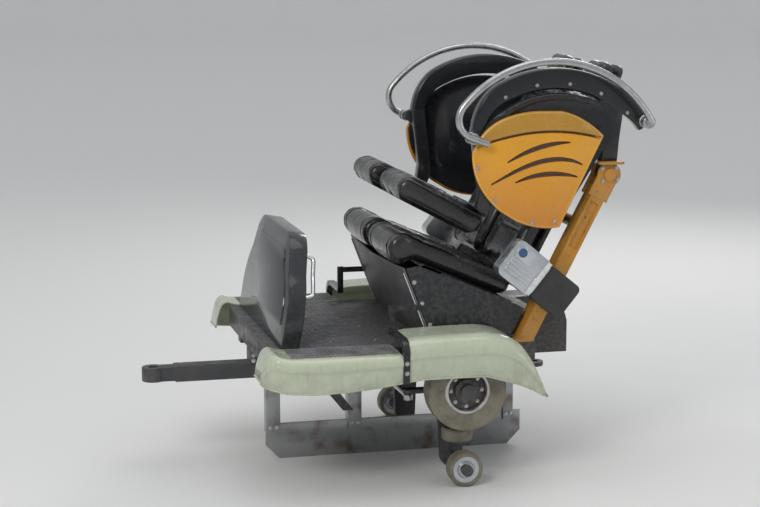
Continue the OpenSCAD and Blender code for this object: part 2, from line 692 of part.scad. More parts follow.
// Wheels turn about Y, or about Z for the guide wheels: their profiles are radius and width
module road_wheel(s) {
    w = road_wheel_w / 2;
    r = road_wheel_d / 2;
    profile = [[stub_r + bore_gap, -w], [52, -w], [52, -w + 26], [80, -w + 22], [80, -w + 2],
        [88, -w], [r - 12, -w], [r, -w + 10], [r, w - 10], [r - 12, w], [88, w], [80, w - 2],
        [80, w - 22], [52, w - 26], [52, w - 4], [stub_r + bore_gap, w - 4]];
    color("#86826f") side(s) translate([0, road_y, 0]) rotate([-90, 0, 0])
        rotate_extrude($fn = 96) polygon(profile);
}
module guide_wheel(s) {
    w = guide_w / 2;
    r = guide_wheel_d / 2;
    profile = [[13 + bore_gap, -w], [30, -w], [34, -w + 8], [r - 6, -w + 4], [r, -w + 10],
        [r, w - 10], [r - 6, w - 4], [34, w - 8], [30, w], [13 + bore_gap, w]];
    color("#86826f") side(s) translate([0, guide_y, guide_h]) rotate_extrude($fn = 72) polygon(profile);
}
module upstop_wheel(s) {
    w = upstop_w / 2;
    r = upstop_wheel_d / 2;
    profile = [[18 + bore_gap, -w], [34, -w], [38, -w + 8], [r - 6, -w + 4], [r, -w + 10],
        [r, w - 10], [r - 6, w - 4], [38, w - 8], [34, w], [18 + bore_gap, w]];
    color("#86826f") side(s) translate([0, road_y, upstop_h]) rotate([-90, 0, 0])
        rotate_extrude($fn = 72) polygon(profile);
}

module tie_rod() {
    color("#8b8f92") difference() {
        union() {
            cross_bar(steer_arm, tie_h, 11, -kingpin_y + 10, kingpin_y - 10);
            both() post_bar(steer_arm, kingpin_y, 19, tie_h - 12, tie_h + 12);
        }
        post_bar(steer_arm, kingpin_y, 8 + bore_gap, tie_h - 20, tie_h + 20);
        post_bar(steer_arm, -kingpin_y, 8.5, tie_h - 20, tie_h + 20);
    }
}

// The car stands with its middle over the origin and its lowest wheels on z = 0
module stand() {
    translate([-car_mid, 0, axle_z]) children();
}
stand() {
    tongue();
    rear_hitch();
    brake_fin();
    axle_beam();
    knuckle(1);  // knuckle_left
    knuckle(-1);  // knuckle_right
    road_wheel(1);  // road_wheel_left
    road_wheel(-1);  // road_wheel_right
    guide_wheel(1);  // guide_wheel_left
    guide_wheel(-1);  // guide_wheel_right
    upstop_wheel(1);  // upstop_wheel_left
    upstop_wheel(-1);  // upstop_wheel_right
    tie_rod();
}
stand() translate([0, 0, lift]) {
    chassis_frame();
    antirollback_dog();
    floor_pan();
    front_bulkhead();
    seat_base();
    calf_panel();
    front_fender(1);  // front_fender_left
    front_fender(-1);  // front_fender_right
    treads();
    rear_fender(1);  // rear_fender_left
    rear_fender(-1);  // rear_fender_right
    fender_straps();
    seat_back_shell();
    cross_tube();
    seat_cushion(1);  // seat_cushion_left
    seat_cushion(-1);  // seat_cushion_right
    back_cushion(1);  // back_cushion_left
    back_cushion(-1);  // back_cushion_right
    headrest(1);  // headrest_left
    headrest(-1);  // headrest_right
    wing(1);  // wing_left
    wing(-1);  // wing_right
    wing_liner(1);  // wing_liner_left
    wing_liner(-1);  // wing_liner_right
    post(1);  // post_left
    post(-1);  // post_right
    lock_housings();
    lock_covers();
    arm(1);  // arm_left
    arm(-1);  // arm_right
    grab_rail(1);  // grab_rail_left
    grab_rail(-1);  // grab_rail_right
    lap_pad(1);  // lap_pad_left
    lap_pad(-1);  // lap_pad_right
}
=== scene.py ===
"""Looks of a two-seat roller coaster car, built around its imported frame."""

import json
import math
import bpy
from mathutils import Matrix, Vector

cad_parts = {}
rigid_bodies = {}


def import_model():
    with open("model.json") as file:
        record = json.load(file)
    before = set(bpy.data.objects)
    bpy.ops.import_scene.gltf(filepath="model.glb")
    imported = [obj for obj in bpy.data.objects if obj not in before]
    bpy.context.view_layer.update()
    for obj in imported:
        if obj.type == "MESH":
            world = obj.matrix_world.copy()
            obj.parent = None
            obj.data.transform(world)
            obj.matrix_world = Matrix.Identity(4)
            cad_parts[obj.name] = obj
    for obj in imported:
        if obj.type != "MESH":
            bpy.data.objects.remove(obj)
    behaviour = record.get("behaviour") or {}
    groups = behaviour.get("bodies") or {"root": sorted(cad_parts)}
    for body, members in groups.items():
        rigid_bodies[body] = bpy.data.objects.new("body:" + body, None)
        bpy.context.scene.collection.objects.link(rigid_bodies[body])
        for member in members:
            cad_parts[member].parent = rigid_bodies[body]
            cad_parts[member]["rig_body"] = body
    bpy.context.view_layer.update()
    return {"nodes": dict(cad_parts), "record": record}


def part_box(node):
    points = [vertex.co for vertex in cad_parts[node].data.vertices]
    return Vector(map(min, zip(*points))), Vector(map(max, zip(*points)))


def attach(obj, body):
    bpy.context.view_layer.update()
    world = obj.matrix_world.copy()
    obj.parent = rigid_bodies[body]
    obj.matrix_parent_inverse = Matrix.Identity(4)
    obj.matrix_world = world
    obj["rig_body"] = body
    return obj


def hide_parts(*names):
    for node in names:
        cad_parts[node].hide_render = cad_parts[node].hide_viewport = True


bl_info = {
    "name": "Roller Coaster Car",
    "version": (1, 0, 0),
    "blender": (4, 5, 0),
    "location": "3D View > Sidebar > Coaster Car",
    "description": "Builds the finished surfaces of a two-seat roller coaster car",
    "category": "Add Mesh",
}

import bmesh
import bpy
import numpy as np
from bpy.props import FloatProperty, FloatVectorProperty, IntProperty, PointerProperty
from mathutils import Matrix, Vector
from mathutils.bvhtree import BVHTree
from mathutils.geometry import delaunay_2d_cdt
from mathutils.kdtree import KDTree

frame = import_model()

MM = 0.001
WHEEL_LOW, WHEEL_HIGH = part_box("road_wheel_left")
AXLE = Vector(((WHEEL_LOW.x + WHEEL_HIGH.x) / 2, 0.0, (WHEEL_LOW.z + WHEEL_HIGH.z) / 2))
SIDES = (("left", 1), ("right", -1))
COLOURS = {row["slot"]: row["base_color"] for row in frame["record"]["materials"]}
finishes = {}

# Places on the left side, in millimetres from the middle of the axle: x forward, y out, h up
SEAT_Y = (26, 436)
LAP_Y = (62, 428)
ARM_Y = 475
RAIL_Y = 572
WING_Y = (520, 528)
PIVOT = (-636, 855)
ARCH_MIDDLE = (-400.7, 782.8)
LOCK_FOOT, LOCK_HEAD = (-450, 330), (-180, 550)
RAIL_FEET = ((-40, 1020.7), (-790, 1072))


def length(name, description, default):
    """A size in metres."""
    return FloatProperty(name=name, description=description, default=default, unit="LENGTH")


class CarSizes(bpy.types.PropertyGroup):
    """Sizes of the finish that a user would change."""

    edge: length("Edge radius", "Rounding of the steel edges", 0.0018)
    moulding: length("Moulding thickness", "Wall of the fenders", 0.005)
    crown: length("Wing crown", "Outward bulge of a wing", 0.020)
    rim: length("Wing rim", "Height of the roll along a wing's top", 0.013)
    groove: length("Groove depth", "Depth of the arched grooves", 0.007)
    voxel: length("Pad voxel", "Remesh size of the padded pieces", 0.0075)
    swell: length("Pad swell", "Most that a point of a pad may move", 0.011)
    seam: length("Seam depth", "Depth of the sewn channels", 0.0055)
    piping: length("Piping radius", "Radius of the piping cord", 0.0034)
    stitch: length("Stitch pitch", "Distance between stitches", 0.009)
    bolt: length("Bolt radius", "Radius of a bolt head", 0.0065)
    pressure: FloatProperty(
        name="Pad pressure", description="Pressure inside the pads while they swell", default=4.0
    )
    ribs: IntProperty(name="Tread ribs", description="Ribs on each tread", default=26)


def swatch(label, slot):
    """A colour property that starts from the record's colour of a slot."""
    return FloatVectorProperty(
        name=label, description=f"Base colour of the {label.lower()}", subtype="COLOR", size=3,
        min=0.0, max=1.0, default=COLOURS[slot],
    )


class CarColours(bpy.types.PropertyGroup):
    """Base colours, one for each slot of the record."""

    fender_sage: swatch("Fenders", "fender_sage")
    wing_yellow: swatch("Wings", "wing_yellow")
    post_amber: swatch("Posts", "post_amber")
    black_vinyl: swatch("Vinyl", "black_vinyl")
    black_moulding: swatch("Shells", "black_moulding")
    arm_black: swatch("Arches", "arm_black")
    bulkhead_gloss: swatch("Bulkhead", "bulkhead_gloss")
    chassis_black: swatch("Chassis", "chassis_black")
    dark_steel: swatch("Running gear", "dark_steel")
    floor_plate: swatch("Floor", "floor_plate")
    fin_steel: swatch("Fin", "fin_steel")
    tyre_tan: swatch("Tyres", "tyre_tan")
    charcoal: swatch("Calf panel", "charcoal")
    tread_grey: swatch("Treads", "tread_grey")
    cover_black: swatch("Lock covers", "cover_black")
    cast_aluminium: swatch("Lock housings", "cast_aluminium")
    satin_steel: swatch("Grab rails", "satin_steel")


def at(x, y, h):
    """A point given in millimetres from the middle of the axle."""
    return AXLE + Vector((x, y, h)) * MM


def arc(centre, r, a0, a1, n=16):
    """Points of an arc in side view, from angle a0 to a1 in degrees."""
    turn = [math.radians(a0 + (a1 - a0) * i / n) for i in range(n + 1)]
    return [(centre[0] + r * math.cos(t), centre[1] + r * math.sin(t)) for t in turn]


def bend(a, k, b, n=16):
    """Points of a smooth bend from a to b that leans on k."""
    return [
        tuple((1 - t) ** 2 * p + 2 * t * (1 - t) * q + t * t * r for p, q, r in zip(a, k, b))
        for t in (i / n for i in range(n + 1))
    ]


def rounded(low, high, r, n):
    """The loop of a rectangle between two corners, with its own corners rounded by r."""
    corners = (
        (high[0] - r, high[1] - r), (low[0] + r, high[1] - r),
        (low[0] + r, low[1] + r), (high[0] - r, low[1] + r),
    )
    return [p for k, corner in enumerate(corners) for p in arc(corner, r, 90 * k, 90 * k + 90, n)]


def step(value, low, high):
    """0 below low, 1 above high and smooth between."""
    t = np.clip((value - low) / (high - low), 0.0, 1.0)
    return t * t * (3 - 2 * t)


def bell(value, middle, width):
    """1 at the middle, falling away on both sides."""
    return np.exp(-(((value - middle) / width) ** 2))


class Plane:
    """A tilted frame in side view: a runs forward and up, b out of it."""

    def __init__(self, x, h, tilt):
        self.x, self.h = x, h
        self.c, self.s = math.cos(math.radians(tilt)), math.sin(math.radians(tilt))

    def point(self, a, y, b):
        """The point at a, y and b in millimetres."""
        return at(self.x + a * self.c - b * self.s, y, self.h + a * self.s + b * self.c)

    def local(self, co):
        """Millimetres along a, y and b of an array of points."""
        q = (co - np.array(AXLE)) / MM
        dx, dh = q[:, 0] - self.x, q[:, 2] - self.h
        return dx * self.c + dh * self.s, q[:, 1], -dx * self.s + dh * self.c


BACK = Plane(-425, 680, 28)
PAN = Plane(-270, 412, 24)
LAP = Plane(-163, 680, 28)
LOCK_RUN, LOCK_RISE = LOCK_HEAD[0] - LOCK_FOOT[0], LOCK_HEAD[1] - LOCK_FOOT[1]
LOCK = Plane(*LOCK_FOOT, math.degrees(math.atan2(LOCK_RISE, LOCK_RUN)))
BULKHEAD = Plane(745, 180.3, 10)


def mesh_of(name, points, faces, edges=()):
    """A mesh from lists of points, faces and loose edges."""
    mesh = bpy.data.meshes.new(name)
    mesh.from_pydata([tuple(p) for p in points], edges, [tuple(f) for f in faces])
    if faces:
        mesh.validate()
    return mesh


def vectors(mesh, key="co"):
    """The places or the normals of a mesh's points, as an array."""
    out = np.zeros(len(mesh.vertices) * 3)
    mesh.vertices.foreach_get(key, out)
    return out.reshape(-1, 3)


def move_to(mesh, places):
    """Moves a mesh's points to an array of places."""
    mesh.vertices.foreach_set("co", np.asarray(places, np.float32).ravel())
    mesh.update()


def soften(mesh, angle=38):
    """Smooth shading, sharp only at edges steeper than the angle."""
    mesh.polygons.foreach_set("use_smooth", [True] * len(mesh.polygons))
    mesh.set_sharp_from_angle(angle=math.radians(angle))
    return mesh


def outward(mesh, gap=2e-5):
    """Merges doubles and turns every face of a closed shell outwards."""
    bm = bmesh.new()
    bm.from_mesh(mesh)
    bmesh.ops.remove_doubles(bm, verts=bm.verts, dist=gap)
    bmesh.ops.recalc_face_normals(bm, faces=bm.faces)
    bm.to_mesh(mesh)
    bm.free()
    return mesh


def linked(name, data):
    """A new object in the scene."""
    obj = bpy.data.objects.new(name, data)
    bpy.context.scene.collection.objects.link(obj)
    return obj


def evaluated(obj):
    """The mesh of an object after its modifiers; the object itself goes."""
    depsgraph = bpy.context.evaluated_depsgraph_get()
    result = bpy.data.meshes.new_from_object(obj.evaluated_get(depsgraph))
    bpy.data.objects.remove(obj)
    return result


def applied(mesh, kind, **settings):
    """The mesh after one modifier."""
    obj = linked("work", mesh)
    modifier = obj.modifiers.new(kind.title(), kind)
    for key, value in settings.items():
        setattr(modifier, key, value)
    return evaluated(obj)


def bevelled(mesh, width, segments, angle):
    """The mesh with its edges rounded where they turn by more than the angle, in radians."""
    return applied(
        mesh, "BEVEL", width=width, segments=segments, limit_method="ANGLE", angle_limit=angle
    )


def joined(name, meshes):
    """Several meshes as one."""
    bm = bmesh.new()
    for mesh in meshes:
        bm.from_mesh(mesh)
    result = bpy.data.meshes.new(name)
    bm.to_mesh(result)
    bm.free()
    return result


def place(name, mesh, body, slot, finish=None, stands_for=()):
    """Makes a piece that rides on a body and takes the place of CAD nodes."""
    mesh.materials.clear()
    mesh.materials.append(finishes[finish or slot])
    mesh.name = name
    obj = linked(name, mesh)
    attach(obj, body)
    if stands_for:
        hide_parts(*stands_for)
    return obj


def both_sides(name, mesh, body, slot, finish=None, node=None, angle=38):
    """Places a left piece and its mirrored right twin; {} in a name takes the side."""
    pair = []
    for side, sign in SIDES:
        if sign < 0:
            mesh = mesh.copy()
            mesh.transform(Matrix.Diagonal((1, -1, 1, 1)))
            mesh.flip_normals()
        stands_for = [node.format(side)] if node else []
        soften(mesh, angle)
        pair.append(place(name.format(side), mesh, body.format(side), slot, finish, stands_for))
    return pair


def dressed(node, slot, edge):
    """A CAD node's own shape with rounded edges and a finish."""
    source = frame["nodes"][node]
    bm = bmesh.new()
    bm.from_mesh(source.data)
    bmesh.ops.remove_doubles(bm, verts=bm.verts, dist=3e-5)
    bmesh.ops.dissolve_limit(bm, angle_limit=math.radians(0.6), verts=bm.verts, edges=bm.edges)
    bare = mesh_of(node, [v.co for v in bm.verts], [[v.index for v in f.verts] for f in bm.faces])
    bm.free()
    mesh = soften(bevelled(bare, edge, 2, math.radians(32)), 42)
    return place(node + "_finish", mesh, source["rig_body"], slot, stands_for=[node])


def grid(rows, wrap=False, closed=False):
    """Faces between rows of points; wrap closes each row, closed joins the last row to the first."""
    n, count = len(rows[0]), len(rows)
    return [
        (i * n + j, i * n + (j + 1) % n, (i + 1) % count * n + (j + 1) % n, (i + 1) % count * n + j)
        for i in range(count if closed else count - 1)
        for j in range(n if wrap else n - 1)
    ]


def ring_shell(name, rings):
    """A closed shell from rings of points, with a fan at each end."""
    n = len(rings[0])
    points = [p for ring in rings for p in ring]
    faces = grid(rings, wrap=True)
    for ring, base in ((rings[0], 0), (rings[-1], (len(rings) - 1) * n)):
        hub = len(points)
        points.append(sum((Vector(p) for p in ring), Vector()) / n)
        faces += [(hub, base + j, base + (j + 1) % n) for j in range(n)]
    return outward(mesh_of(name, points, faces))


def revolve(name, profile, centre, axis="Y", segments=72):
    """A wheel: a closed profile of radius and width in millimetres, about Y or Z."""
    rows = []
    for k in range(segments):
        c, s = math.cos(2 * math.pi * k / segments), math.sin(2 * math.pi * k / segments)
        spots = [(r * c, w, r * s) if axis == "Y" else (r * c, r * s, w) for r, w in profile]
        rows.append([centre + Vector(spot) * MM for spot in spots])
    return outward(mesh_of(name, [p for row in rows for p in row], grid(rows, wrap=True, closed=True)))


def prism(name, loop, offset):
    """A closed prism from a loop of points, pushed along offset."""
    n = len(loop)
    points = [Vector(p) for p in loop] + [Vector(p) + Vector(offset) for p in loop]
    faces = [tuple(range(n)), tuple(range(2 * n - 1, n - 1, -1))]
    faces += [(i, (i + 1) % n, n + (i + 1) % n, n + i) for i in range(n)]
    return outward(mesh_of(name, points, faces))


class Nodes:
    """A node tree that is built up node by node."""

    def node(self, kind, inputs, output=0, **settings):
        """Adds a node; an input that is a socket is linked, any other is a value."""
        node = self.tree.nodes.new(kind)
        for key, value in settings.items():
            setattr(node, key, value)
        for key, value in inputs.items():
            if isinstance(value, bpy.types.NodeSocket):
                self.tree.links.new(value, node.inputs[key])
            else:
                node.inputs[key].default_value = value
        return node.outputs[output]

    def times(self, a, b):
        """The product of two values."""
        return self.node("ShaderNodeMath", {0: a, 1: b}, operation="MULTIPLY")


class Tree(Nodes):
    """A Geometry Nodes tree with named inputs."""

    def __init__(self, name, **sockets):
        self.tree = bpy.data.node_groups.new(name, "GeometryNodeTree")
        face = self.tree.interface
        face.new_socket("Geometry", in_out="INPUT", socket_type="NodeSocketGeometry")
        for label, kind in sockets.items():
            face.new_socket(label, in_out="INPUT", socket_type="NodeSocket" + kind)
        face.new_socket("Geometry", in_out="OUTPUT", socket_type="NodeSocketGeometry")
        self.given = self.tree.nodes.new("NodeGroupInput").outputs

    def vector(self, **parts):
        """A vector from its X, Y and Z."""
        return self.node("ShaderNodeCombineXYZ", parts)

    def shaped(self, geometry, **change):
        """A moved, turned or scaled geometry."""
        return self.node("GeometryNodeTransform", {"Geometry": geometry, **change})

    def attribute(self, name, kind):
        """A value stored on the points."""
        return self.node("GeometryNodeInputNamedAttribute", {"Name": name}, data_type=kind)

    def along(self, way):
        """The turn that points Z along a way."""
        return self.node("FunctionNodeAlignRotationToVector", {"Vector": way}, axis="Z")

    def copies(self, points, shape, **turn):
        """A copy of a shape at each point."""
        return self.node("GeometryNodeInstanceOnPoints", {"Points": points, "Instance": shape, **turn})

    def end(self, geometry):
        """Ends the tree in Realize Instances and Set Material."""
        real = self.node("GeometryNodeRealizeInstances", {"Geometry": geometry})
        done = self.node("GeometryNodeSetMaterial", {"Geometry": real, "Material": self.given["Material"]})
        self.tree.links.new(done, self.tree.nodes.new("NodeGroupOutput").inputs[0])
        return self

    def grow(self, mesh, **values):
        """The mesh that the tree makes from a mesh of points or lines."""
        obj = linked("seed", mesh)
        modifier = obj.modifiers.new("Build", "NODES")
        modifier.node_group = self.tree
        for label, value in values.items():
            modifier[self.tree.interface.items_tree[label].identifier] = value
        return evaluated(obj)


def bolt_tree():
    """Hexagon heads on washers, one at each point, facing along its attribute."""
    t = Tree("bolt_heads", Radius="Float", Material="Material")
    radius = t.given["Radius"]
    washer_size = {"Vertices": 20, "Radius": t.times(radius, 1.45), "Depth": t.times(radius, 0.5)}
    head_size = {"Vertices": 6, "Radius": radius, "Depth": t.times(radius, 1.0)}
    crown_size = {
        "Vertices": 12, "Radius Top": t.times(radius, 0.62), "Radius Bottom": t.times(radius, 0.84),
        "Depth": t.times(radius, 0.14),
    }
    washer = t.node("GeometryNodeMeshCylinder", washer_size)
    head = t.node("GeometryNodeMeshCylinder", head_size)
    crown = t.node("GeometryNodeMeshCone", crown_size)
    bolt = t.tree.nodes.new("GeometryNodeJoinGeometry")
    t.tree.links.new(washer, bolt.inputs[0])
    for part, lift in ((head, 0.6), (crown, 1.1)):
        raised = t.shaped(part, Translation=t.vector(Z=t.times(radius, lift)))
        t.tree.links.new(raised, bolt.inputs[0])
    turn = t.along(t.attribute("facing", "FLOAT_VECTOR"))
    return t.end(t.copies(t.given["Geometry"], bolt.outputs[0], Rotation=turn))


def tube_tree():
    """A round tube along each line."""
    t = Tree("tube", Radius="Float", Sides="Int", Material="Material")
    line = t.node("GeometryNodeMeshToCurve", {"Mesh": t.given["Geometry"]})
    circle = {"Resolution": t.given["Sides"], "Radius": t.given["Radius"]}
    ring = t.node("GeometryNodeCurvePrimitiveCircle", circle)
    tube = t.node("GeometryNodeCurveToMesh", {"Curve": line, "Profile Curve": ring, "Fill Caps": True})
    return t.end(t.node("GeometryNodeSetShadeSmooth", {"Geometry": tube}))


def stitch_tree():
    """Short threads end to end along each line."""
    t = Tree("stitches", Pitch="Float", Material="Material")
    pitch = t.given["Pitch"]
    line = t.node("GeometryNodeMeshToCurve", {"Mesh": t.given["Geometry"]})
    spaced = t.node("GeometryNodeResampleCurve", {"Curve": line, "Length": pitch}, mode="LENGTH")
    turn = t.along(t.node("GeometryNodeInputTangent", {}))
    ball = t.node("GeometryNodeMeshUVSphere", {"Segments": 6, "Rings": 5, "Radius": 0.001})
    thread = t.shaped(ball, Scale=t.vector(X=0.9, Y=0.9, Z=t.times(pitch, 360.0)))
    return t.end(t.copies(spaced, thread, Rotation=turn))


def rib_tree():
    """Equal bars side by side along X from each point."""
    t = Tree("ribs", Count="Int", Pitch="Float", Length="Float", Material="Material")
    gap = t.vector(X=t.given["Pitch"])
    row = t.node("GeometryNodeMeshLine", {"Count": t.given["Count"], "Offset": gap})
    rows = t.copies(t.given["Geometry"], row)
    spots = t.node("GeometryNodeRealizeInstances", {"Geometry": rows})
    bar = t.node("GeometryNodeMeshCylinder", {"Vertices": 10, "Radius": 0.0035, "Depth": t.given["Length"]})
    flat = t.shaped(bar, Rotation=(math.pi / 2, 0, 0), Scale=(1, 1, 0.7))
    return t.end(t.copies(spots, flat))


def lozenge_tree():
    """Raised lozenges in rows over a plate, every second one turned the other way."""
    t = Tree("lozenges", Pitch="Float", Material="Material")
    size = t.given["Pitch"]
    ball = t.node("GeometryNodeMeshUVSphere", {"Segments": 8, "Rings": 4, "Radius": 0.5})
    bar = t.shaped(ball, Scale=t.vector(X=t.times(size, 0.86), Y=t.times(size, 0.24), Z=0.0016))
    turn = t.vector(Z=t.times(t.attribute("side", "FLOAT"), math.pi / 4))
    return t.end(t.copies(t.given["Geometry"], bar, Rotation=turn))


def bolts(name, rows, body, radius):
    """Bolt heads of one body from rows of place and facing, in millimetres."""
    seed = mesh_of(name, [at(*row[:3]) for row in rows], [])
    facing = seed.attributes.new("facing", "FLOAT_VECTOR", "POINT")
    facing.data.foreach_set("vector", np.array([row[3:] for row in rows], np.float32).ravel())
    mesh = bolt_tree().grow(seed, Radius=radius, Material=finishes["zinc"])
    return place(name, soften(mesh, 30), body, "satin_steel", "zinc")


def line_mesh(lines):
    """A mesh of edges from lists of points."""
    edges, base = [], 0
    for line in lines:
        edges += [(base + i, base + i + 1) for i in range(len(line) - 1)]
        base += len(line)
    return mesh_of("lines", [p for line in lines for p in line], [], edges)


def tubes(lines, radius, sides, finish):
    """Tubes along lines of points, as one mesh."""
    return tube_tree().grow(line_mesh(lines), Radius=radius, Sides=sides, Material=finishes[finish])


# Noise that is as long as it is wide and high
EVEN = (1, 1, 1)


class Shade(Nodes):
    """A Principled surface whose colour, roughness and height are built up in layers."""

    def __init__(self, name, rough, colour=None, metal=0.0, coat=0.0, coat_rough=0.05):
        material = finishes[name] = bpy.data.materials.new(name)
        material.use_nodes = True
        self.tree = material.node_tree
        self.bsdf = next(n for n in self.tree.nodes if n.type == "BSDF_PRINCIPLED")
        self.base = tuple(colour or getattr(bpy.context.scene.car_colours, name))
        self.colour = (*self.base, 1)
        values = {
            "Base Color": self.colour, "Roughness": rough, "Metallic": metal,
            "Coat Weight": coat, "Coat Roughness": coat_rough,
        }
        for key, value in values.items():
            self.bsdf.inputs[key].default_value = value
        self.place = self.node("ShaderNodeTexCoord", {}, "Object")
        self.normal = None

    def darker(self, factor):
        """The base colour times a factor."""
        return tuple(c * factor for c in self.base)

    def dusty(self, share):
        """The base colour with a share of dust in it."""
        dust = (0.30, 0.27, 0.21)
        return tuple(a * (1 - share) + b * share for a, b in zip(self.base, dust))

    def noise(self, scale, detail=4.0, stretch=EVEN):
        """Noise with about scale cells a metre."""
        spot = self.node("ShaderNodeMapping", {"Vector": self.place, "Scale": stretch})
        return self.node("ShaderNodeTexNoise", {"Vector": spot, "Scale": scale, "Detail": detail})

    def range(self, value, low, high, start=0.0, end=1.0):
        """Start below low, end above high and straight between."""
        limits = {"From Min": low, "From Max": high, "To Min": start, "To Max": end}
        return self.node("ShaderNodeMapRange", {"Value": value, **limits})

    def height_above(self, low, high):
        """1 at height low over the floor and 0 at high."""
        level = self.node("ShaderNodeSeparateXYZ", {"Vector": self.place}, "Z")
        return self.range(level, low, high, 1.0, 0.0)

    def worn_edges(self):
        """1 on worn outer edges, broken up by noise."""
        point = self.node("ShaderNodeNewGeometry", {}, "Pointiness")
        return self.times(self.range(point, 0.52, 0.60), self.range(self.noise(60), 0.42, 0.62))

    def paint(self, factor, colour):
        """Lays a colour over what is there, by a factor."""
        layers = {0: factor, 6: self.colour, 7: (*colour, 1)}
        self.colour = self.node("ShaderNodeMix", layers, 2, data_type="RGBA")
        self.tree.links.new(self.colour, self.bsdf.inputs["Base Color"])
        return self

    def stain(self, scale, low, high, most, colour, detail=4.0, stretch=EVEN, least=0.0):
        """Lays a colour where noise is high: least of it below low, most of it above high."""
        return self.paint(self.range(self.noise(scale, detail, stretch), low, high, least, most), colour)

    def sheen(self, scale, low, high, detail=4.0, stretch=EVEN):
        """Roughness that wanders between low and high."""
        value = self.range(self.noise(scale, detail, stretch), 0.3, 0.7, low, high)
        self.tree.links.new(value, self.bsdf.inputs["Roughness"])
        return self

    def bump(self, height, depth, strength):
        """Adds a height to the surface's bumps."""
        inputs = {"Height": height, "Distance": depth, "Strength": strength}
        if self.normal is not None:
            inputs["Normal"] = self.normal
        self.normal = self.node("ShaderNodeBump", inputs)
        self.tree.links.new(self.normal, self.bsdf.inputs["Normal"])
        return self

    def grain(self, scale, depth, strength=0.5, detail=4.0, stretch=EVEN):
        """Bumps from noise."""
        return self.bump(self.noise(scale, detail, stretch), depth, strength)

    def pebble(self, scale, depth, strength=0.5):
        """Bumps from cells, about scale of them a metre."""
        cells = self.node("ShaderNodeTexVoronoi", {"Vector": self.place, "Scale": scale})
        return self.bump(cells, depth, strength)


def make_vinyl():
    """Seat vinyl with fine pebble grain and soft creases, and its thread and piping."""
    vinyl = Shade("black_vinyl", 0.3, coat=0.4, coat_rough=0.15)
    vinyl.stain(9, 0.45, 0.75, 0.35, vinyl.dusty(0.06)).sheen(26, 0.2, 0.38, 5)
    vinyl.pebble(1400, 0.00012).grain(34, 0.0016, 0.35, 3, (1, 1.6, 1))
    Shade("thread", 0.7, (0.055, 0.055, 0.06)).grain(2600, 0.0002, 1.0)
    Shade("piping", 0.28, (0.025, 0.025, 0.028), coat=0.3, coat_rough=0.15).sheen(80, 0.22, 0.4)


def make_gelcoat():
    """Glossy mouldings: the sage fenders and the yellow wings, which carry painted shade low down, on the
    rim and in the grooves, and a painted highlight along the lip.
    """
    sage = Shade("fender_sage", 0.25, coat=0.55, coat_rough=0.07)
    sage.stain(5, 0.4, 0.7, 0.5, sage.darker(0.84))
    dirt = sage.times(sage.height_above(0.40, 0.56), sage.range(sage.noise(22, 6), 0.35, 0.7))
    sage.paint(sage.times(dirt, 0.55), (0.16, 0.15, 0.11))
    sage.stain(70, 0.56, 0.74, 0.28, (0.28, 0.29, 0.21), 5, (1, 1, 0.12))
    sage.stain(240, 0.68, 0.74, 0.3, (0.62, 0.64, 0.55), 3, (0.15, 1, 1))
    sage.sheen(18, 0.17, 0.36, 5).grain(260, 0.00018, 0.5, 2)

    yellow = Shade("wing_yellow", 0.25, coat=0.5, coat_rough=0.06)
    yellow.stain(6, 0.4, 0.7, 0.45, yellow.darker(0.80))
    # Painted shade: each wing turns darker and redder orange towards its bottom, as if it faced away from
    # the light.
    yellow.paint(yellow.height_above(1.02, 1.34), (0.62, 0.22, 0.012))
    marks = (
        # Painted shade: the rolled rim along the top is darker olive, as where its roll turns away from the
        # light.
        ("rim", 0.1, 1.0, 0.7, (0.36, 0.20, 0.03)),
        # Painted shade and shadow: near black in the grooves and in the ditch under the rim.
        ("groove", 0.08, 0.5, 0.97, (0.045, 0.012, 0.005)),
        # Painted highlight: a paler yellow line along the lip of each wing's outline.
        ("lip", 0.2, 1.0, 0.6, (0.88, 0.56, 0.16)),
    )
    for name, low, high, most, colour in marks:
        mark = yellow.node("ShaderNodeAttribute", {}, "Fac", attribute_name=name)
        yellow.paint(yellow.range(mark, low, high, 0.0, most), colour)
    yellow.stain(260, 0.67, 0.73, 0.35, (0.9, 0.55, 0.16), 3, (0.12, 1, 1))
    yellow.sheen(20, 0.16, 0.34, 5).grain(280, 0.00016, 0.5, 2)


def make_black_shells():
    """Black mouldings, the lacquered arches and the bulkhead."""
    rows = (("black_moulding", 0.24, 0.3), ("arm_black", 0.18, 0.5), ("bulkhead_gloss", 0.18, 0.45))
    for name, rough, coat in rows:
        shell = Shade(name, rough, coat=coat, coat_rough=0.06)
        shell.bsdf.inputs["Specular IOR Level"].default_value = 0.3
        shell.stain(7, 0.42, 0.72, 0.4, shell.dusty(0.05))
        shell.stain(320, 0.68, 0.76, 0.22, (0.09, 0.09, 0.095), 4, (1, 1, 0.08))
        shell.paint(shell.times(shell.worn_edges(), 0.5), (0.08, 0.08, 0.085))
        shell.sheen(24, rough - 0.05, rough + 0.1, 5).grain(240, 0.00015, 0.5, 2)


def make_paint():
    """Painted steel: the frame, the running gear, the floor and the amber posts."""
    rows = (
        ("chassis_black", (0.13, 0.10, 0.08), 0.42),
        ("dark_steel", (0.16, 0.13, 0.10), 0.46),
        ("floor_plate", (0.16, 0.16, 0.16), 0.5),
    )
    for name, worn, rough in rows:
        steel = Shade(name, rough)
        steel.stain(8, 0.42, 0.72, 0.5, steel.dusty(0.10), 6)
        steel.stain(30, 0.62, 0.72, 0.32, (0.07, 0.035, 0.018), 8)
        steel.paint(steel.worn_edges(), worn)
        steel.sheen(28, rough - 0.12, rough + 0.2, 6).grain(190, 0.00035)
    amber = Shade("post_amber", 0.36, coat=0.15, coat_rough=0.2)
    amber.stain(11, 0.42, 0.7, 0.65, amber.darker(0.62), 6)
    amber.stain(46, 0.58, 0.70, 0.75, (0.12, 0.045, 0.015), 8)
    amber.paint(amber.worn_edges(), (0.30, 0.24, 0.16))
    amber.sheen(30, 0.28, 0.55, 6).grain(170, 0.0004)


